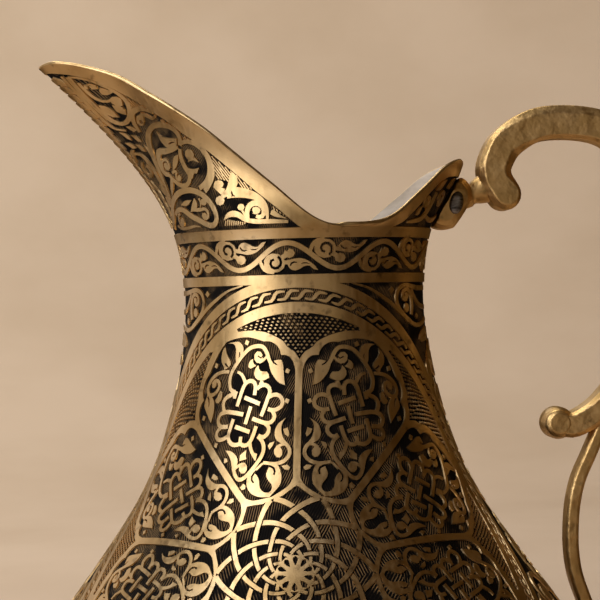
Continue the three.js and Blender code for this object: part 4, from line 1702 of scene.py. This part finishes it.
# Handle: places in the XZ plane, measured in the photo. The lower end is a guess, as in the solids.
handle = {
    "upperWay": [
        (55.2, 204.2), (52.8, 208.6), (53, 213), (57, 218.9), (66.3, 223.3), (81, 222.4), (90.3, 216.2),
        (96.8, 205.2), (98.6, 191.9), (96.8, 177.2), (93, 164.4), (88.2, 154.8), (83.6, 148.6),
        (78.9, 144.3), (72.8, 141.1), (68.4, 141.7),
    ],
    "upperHalf": [(0, 4.4), (0.1, 4.6), (0.6, 4.4), (0.92, 3.5), (1, 3.4)],  # share of the way, size
    "upperOuter": [(0, 1.6), (0.05, 1.5), (0.1, 0.9), (0.17, 2.2), (0.8, 2.0), (1, 1.0)],
    "upperInner": [(0, 0.8), (0.04, 1.9), (0.1, 2.3), (0.16, 0.9), (1, 0.9)],
    "upperDepth": 9.0,
    "upperSlope": 1.5,
    "knob": (68.4, 141.7),
    "knobRadius": 4.4,
    "knobSteps": [(0.62, -0.2), (0.86, 0.7), (1.0, 2.4)],  # share of the radius, depth below the bar's face
    "lowerWay": [
        (81.4, 142.2), (78.8, 136.7), (77, 132.8), (74, 126.4), (72.3, 119.9), (71.6, 113.5),
        (71.5, 107.1), (72.3, 100.6), (74.3, 94.2), (77.2, 86.6), (81.2, 79.2), (86.7, 72.8),
        (92.1, 70.3),
    ],
    "lowerHalf": [(0, 1.8), (0.7, 1.9), (1, 3.2)],
    "lowerOuter": [(0, 0.7), (1, 0.7)],
    "lowerInner": [(0, 0.7), (1, 0.7)],
    "lowerDepth": 5.8,
    "lowerSlope": 0.7,
    "edge": 0.4,
}


# Bar of a scroll, chamfered along its outer and its inner edge.
def scrollPiece(name, part, node):
    line = smoothLine(handle[part + "Way"], 120)
    share = np.linspace(0, 1, len(line))
    half, outer, inner = (np.interp(share, *zip(*handle[part + key])) for key in ("Half", "Outer", "Inner"))
    wide = barOutline(line, half, half)
    narrow = barOutline(line, half - outer, half - inner)
    offsets = [handle[part + "Depth"] / 2, handle[part + "Depth"] / 2 - handle[part + "Slope"]]
    rideAs(platePiece(name, [narrow, wide], offsets, handle["edge"]), node)


scrollPiece("upperScroll", "upper", "handle_upper_scroll")
scrollPiece("lowerScroll", "lower", "handle_lower_scroll")


# Round knob that ends the upper scroll, wider at its middle than at its two faces.
def knobPiece():
    turns = np.arange(40) * math.pi / 20
    ring = np.stack([np.cos(turns), np.sin(turns)], -1)
    radius, depth = handle["knobRadius"], handle["upperDepth"]
    outlines = [handle["knob"] + ring * radius * share for share, _ in handle["knobSteps"]]
    offsets = [depth / 2 - drop for _, drop in handle["knobSteps"]]
    piece = platePiece("scrollKnob", outlines, offsets, handle["edge"])
    rideAs(piece, "handle_upper_scroll")


knobPiece()

# Brackets, their stems and their pins, in the same plane.
knuckle = {
    "depth": 11.0,
    "steps": [(2.4, 0.0), (1.0, 0.7), (0.0, 2.4)],  # inset of the outline, depth below the face
    "edge": 0.45,
    "stemTurning": [  # share of the way, radius
        (0, 3.1), (0.28, 3.3), (0.34, 2.9), (0.42, 2.9), (0.55, 3.4), (0.7, 3.8), (0.85, 4.0), (1, 4.0),
    ],
    "stemFlat": 0.9,
    "pinAcross": 2.0,
    "pinHigh": 3.3,
    "pinLean": 14.0,
    "pinProud": 0.6,
    "pinDome": [(0.02, 0), (0.5, 0.08), (0.78, 0.25), (0.92, 0.55), (1, 1.1)],  # share of the radius, drop
    "upperPin": (41.2, 202.0),
    "upperStem": [(43, 203.2), (51.6, 206.6)],
    "upperOutline": [
        (39.9, 204.6), (41.3, 207.4), (42.7, 208.8), (44.3, 208.2), (45.7, 206), (45.8, 203.2),
        (44, 199.8), (41.6, 196.4), (40.2, 195.2), (37.2, 195.1), (35.2, 196.4), (37.3, 200.7),
    ],
    "upperSeat": (38.2, 200.6),
    "lowerPin": (84.8, 64.5),
    "lowerStem": [(85.6, 67), (87.6, 72.4)],
    "lowerSeat": (81, 64.4),
    "lowerOutline": [
        (77.1, 70), (82, 70.2), (86.4, 69.4), (89, 67.2), (89.6, 64.2), (88.6, 60.8), (86.2, 58.4),
        (82.6, 57.6), (79.6, 58), (79.2, 61), (78.4, 65),
    ],
}


# Shrinks an outline towards a place on the side where the bracket meets the jug, so that side stays full.
def inset(outline, seat, amount):
    reach = np.linalg.norm(outline - seat, axis=1).mean()
    return seat + (outline - seat) * (1 - amount / reach)


def bracketPiece(name, outline, seat, node):
    wide = smoothLine(outline, 72, True)[:-1]
    outlines = [inset(wide, np.array(seat), step) for step, _ in knuckle["steps"]]
    offsets = [knuckle["depth"] / 2 - deep for _, deep in knuckle["steps"]]
    rideAs(platePiece(name, outlines, offsets, knuckle["edge"]), node)


# Stem or pin from its rings, smooth but for its sharp turns.
def turnedPiece(name, rings, material):
    piece = cappedPiece(name, rings, material)
    piece.data.set_sharp_from_angle(angle=math.radians(40))
    return piece


# Turned neck between a bracket and its scroll.
def stemPiece(name, way, node):
    first, last = (np.array([x, 0, z]) for x, z in way)
    along = (last - first) / np.linalg.norm(last - first)
    across, deep = np.array([-along[2], 0, along[0]]), np.array([0, knuckle["stemFlat"], 0])
    angle = np.arange(40)[:, None] * math.pi / 20
    turning = np.array(knuckle["stemTurning"])
    shares = np.linspace(0, 1, 25)
    radii = np.interp(shares, turning[:, 0], turning[:, 1])
    ring = np.cos(angle) * across + np.sin(angle) * deep
    rings = [first + (last - first) * share + ring * radius for share, radius in zip(shares, radii)]
    rideAs(turnedPiece(name, rings, castBrass), node)


# Steel pin with a domed, filed end on each side, beaten a little oval.
def pinPiece(name, place, node):
    reach = knuckle["depth"] / 2 + knuckle["pinProud"]
    section = [(r, reach - drop) for r, drop in knuckle["pinDome"]]
    section += [(r, -y) for r, y in section[::-1]]
    angle = np.arange(48) * 2 * math.pi / 48
    lean = math.radians(knuckle["pinLean"])
    across, high = knuckle["pinAcross"] * np.cos(angle), knuckle["pinHigh"] * np.sin(angle)
    x = across * math.cos(lean) + high * math.sin(lean)
    z = high * math.cos(lean) - across * math.sin(lean)
    rings = [np.stack([place[0] + r * x, np.full(48, y), place[1] + r * z], -1) for r, y in section]
    rideAs(turnedPiece(name, rings, steel), node)


for end in ("upper", "lower"):
    bracketPiece(end + "Knuckle", knuckle[end + "Outline"], knuckle[end + "Seat"], end + "_bracket")
    stemPiece(end + "Stem", knuckle[end + "Stem"], "handle_" + end + "_scroll")
    pinPiece(end + "Pin", knuckle[end + "Pin"], end + "_pin")
print("handle and brackets made")


# Studio: a pale floor that sweeps up into a round wall, a tall soft light at the left, weak ones elsewhere.
studio = {
    "radius": 1900.0,
    "bend": 900.0,
    "near": 420.0,  # floor that the brass reflects
    "top": 2600.0,
    "columns": 96,
    "wallPale": (0.50, 0.375, 0.26),
    "wallDeep": (0.455, 0.335, 0.225),
    "wallClouds": 5.0,
    "world": (0.058, 0.032, 0.008),
}


def wallMaterial():
    material, tree, shader = newMaterial("limeWall")
    coords = addNode(tree, "ShaderNodeTexCoord")
    clouds = noiseOn(tree, coords, studio["wallClouds"], 5)
    tones = rampOn(tree, clouds, [(0.35, studio["wallDeep"]), (0.65, studio["wallPale"])])
    tree.links.new(tones, shader.inputs["Base Color"])
    shader.inputs["Roughness"].default_value = 0.9
    return material


def sweepPart(name, section, material):
    angle = np.arange(studio["columns"]) * 2 * math.pi / studio["columns"]
    rows = [np.stack([r * np.cos(angle), r * np.sin(angle), np.full_like(angle, z)], -1) for r, z in section]
    part = makePiece(name, np.concatenate(rows), skinFaces(len(rows), studio["columns"], False), [material])
    return part


def backdrop():
    bend, radius = studio["bend"], studio["radius"]
    turns = np.linspace(0, math.pi / 2, 24)
    curve = [(radius - bend + bend * math.sin(t), bend - bend * math.cos(t) - 0.05) for t in turns]
    lime = wallMaterial()
    seam = (studio["near"], -0.05)
    sweepPart("studioFloor", [(0.1, -0.05), seam], lime)
    wall = sweepPart("studioWall", [seam] + curve + [(radius, studio["top"])], lime)
    wall.visible_glossy = False  # the polished brass shows the lights and the floor near it, not the wall


backdrop()

lamps = [  # name, place, aimed at, size, power in watts, colour
    ("leftKey", (-640, -530, 535), (0, 0, 140), (640, 1270), 8.7, (1.0, 1.05, 1.24)),
    ("lowKey", (-280, -180, 70), (0, 0, 190), (300, 190), 0.1, (1.0, 1.0, 1.2)),
    ("backLeft", (-560, 600, 460), (0, 0, 140), (400, 800), 0.85, (1.0, 0.93, 0.92)),
    ("sideLeft", (-780, 200, 230), (0, 0, 160), (520, 500), 0.36, (1.0, 0.91, 0.82)),
    ("tableGlow", (-80, -430, 30), (0, 0, 195), (460, 260), 0.12, (1.0, 0.97, 0.95)),
    ("handleFill", (330, -1000, 300), (60, 0, 190), (300, 300), 0.12, (1.0, 0.96, 0.86)),
    ("frontFill", (-200, -1040, 425), (0, 0, 140), (700, 700), 0.2, (1.0, 0.88, 0.78)),
    ("backFill", (-300, 1150, 900), (0, 0, 120), (700, 500), 1.5, (0.95, 1.0, 1.12)),
    ("wallGlow", (-450, 500, 1500), (-330, 1900, 420), (1200, 500), 29.0, (0.97, 1.0, 1.0)),
]


def addLamp(name, place, target, size, power, colour):
    lamp = bpy.data.lights.new(name, "AREA")
    lamp.shape = "RECTANGLE"
    lamp.size, lamp.size_y = size[0] * mm, size[1] * mm
    lamp.energy = power
    lamp.color = colour
    thing = bpy.data.objects.new(name, lamp)
    thing.location = Vector(place) * mm
    aim = (Vector(target) - Vector(place)).to_track_quat("-Z", "Y")
    thing.rotation_euler = aim.to_euler()
    bpy.context.scene.collection.objects.link(thing)


for lampRow in lamps:
    addLamp(*lampRow)

world = bpy.data.worlds.new("studioAir")
world.use_nodes = True
world.node_tree.nodes["Background"].inputs["Color"].default_value = (*studio["world"], 1)
world.node_tree.nodes["Background"].inputs["Strength"].default_value = 1
bpy.context.scene.world = world
bpy.context.scene.view_settings.view_transform = "Standard"

# Camera at the photo's place: nearly level, a little to the left of square on, rolled by a degree.
view = {
    "distance": 472.5,
    "height": 176.85,
    "aside": -1.16,
    "turn": -5.0,
    "roll": 1.41,
    "sensor": 36.0,
    "field": 600 / 1750,  # width of the picture over the focal length, both in pixels
}


def addCamera():
    lens = bpy.data.cameras.new("photoCamera")
    lens.sensor_width = view["sensor"]
    lens.lens = view["sensor"] / view["field"]
    turn = math.radians(view["turn"])
    back = Vector((math.sin(turn), -math.cos(turn), 0))
    right = Vector((math.cos(turn), math.sin(turn), 0))
    place = back * view["distance"] + right * view["aside"] + Vector((0, 0, view["height"]))
    roll = math.radians(-view["roll"])
    up = Vector((0, 0, 1)) * math.cos(roll) - right * math.sin(roll)
    side = right * math.cos(roll) + Vector((0, 0, 1)) * math.sin(roll)
    matrix = Matrix((side, up, back)).transposed().to_4x4()
    matrix.translation = place * mm
    camera = bpy.data.objects.new("photoCamera", lens)
    camera.matrix_world = matrix
    bpy.context.scene.collection.objects.link(camera)
    bpy.context.scene.camera = camera


addCamera()
print("studio ready")

bpy.context.view_layer.update()
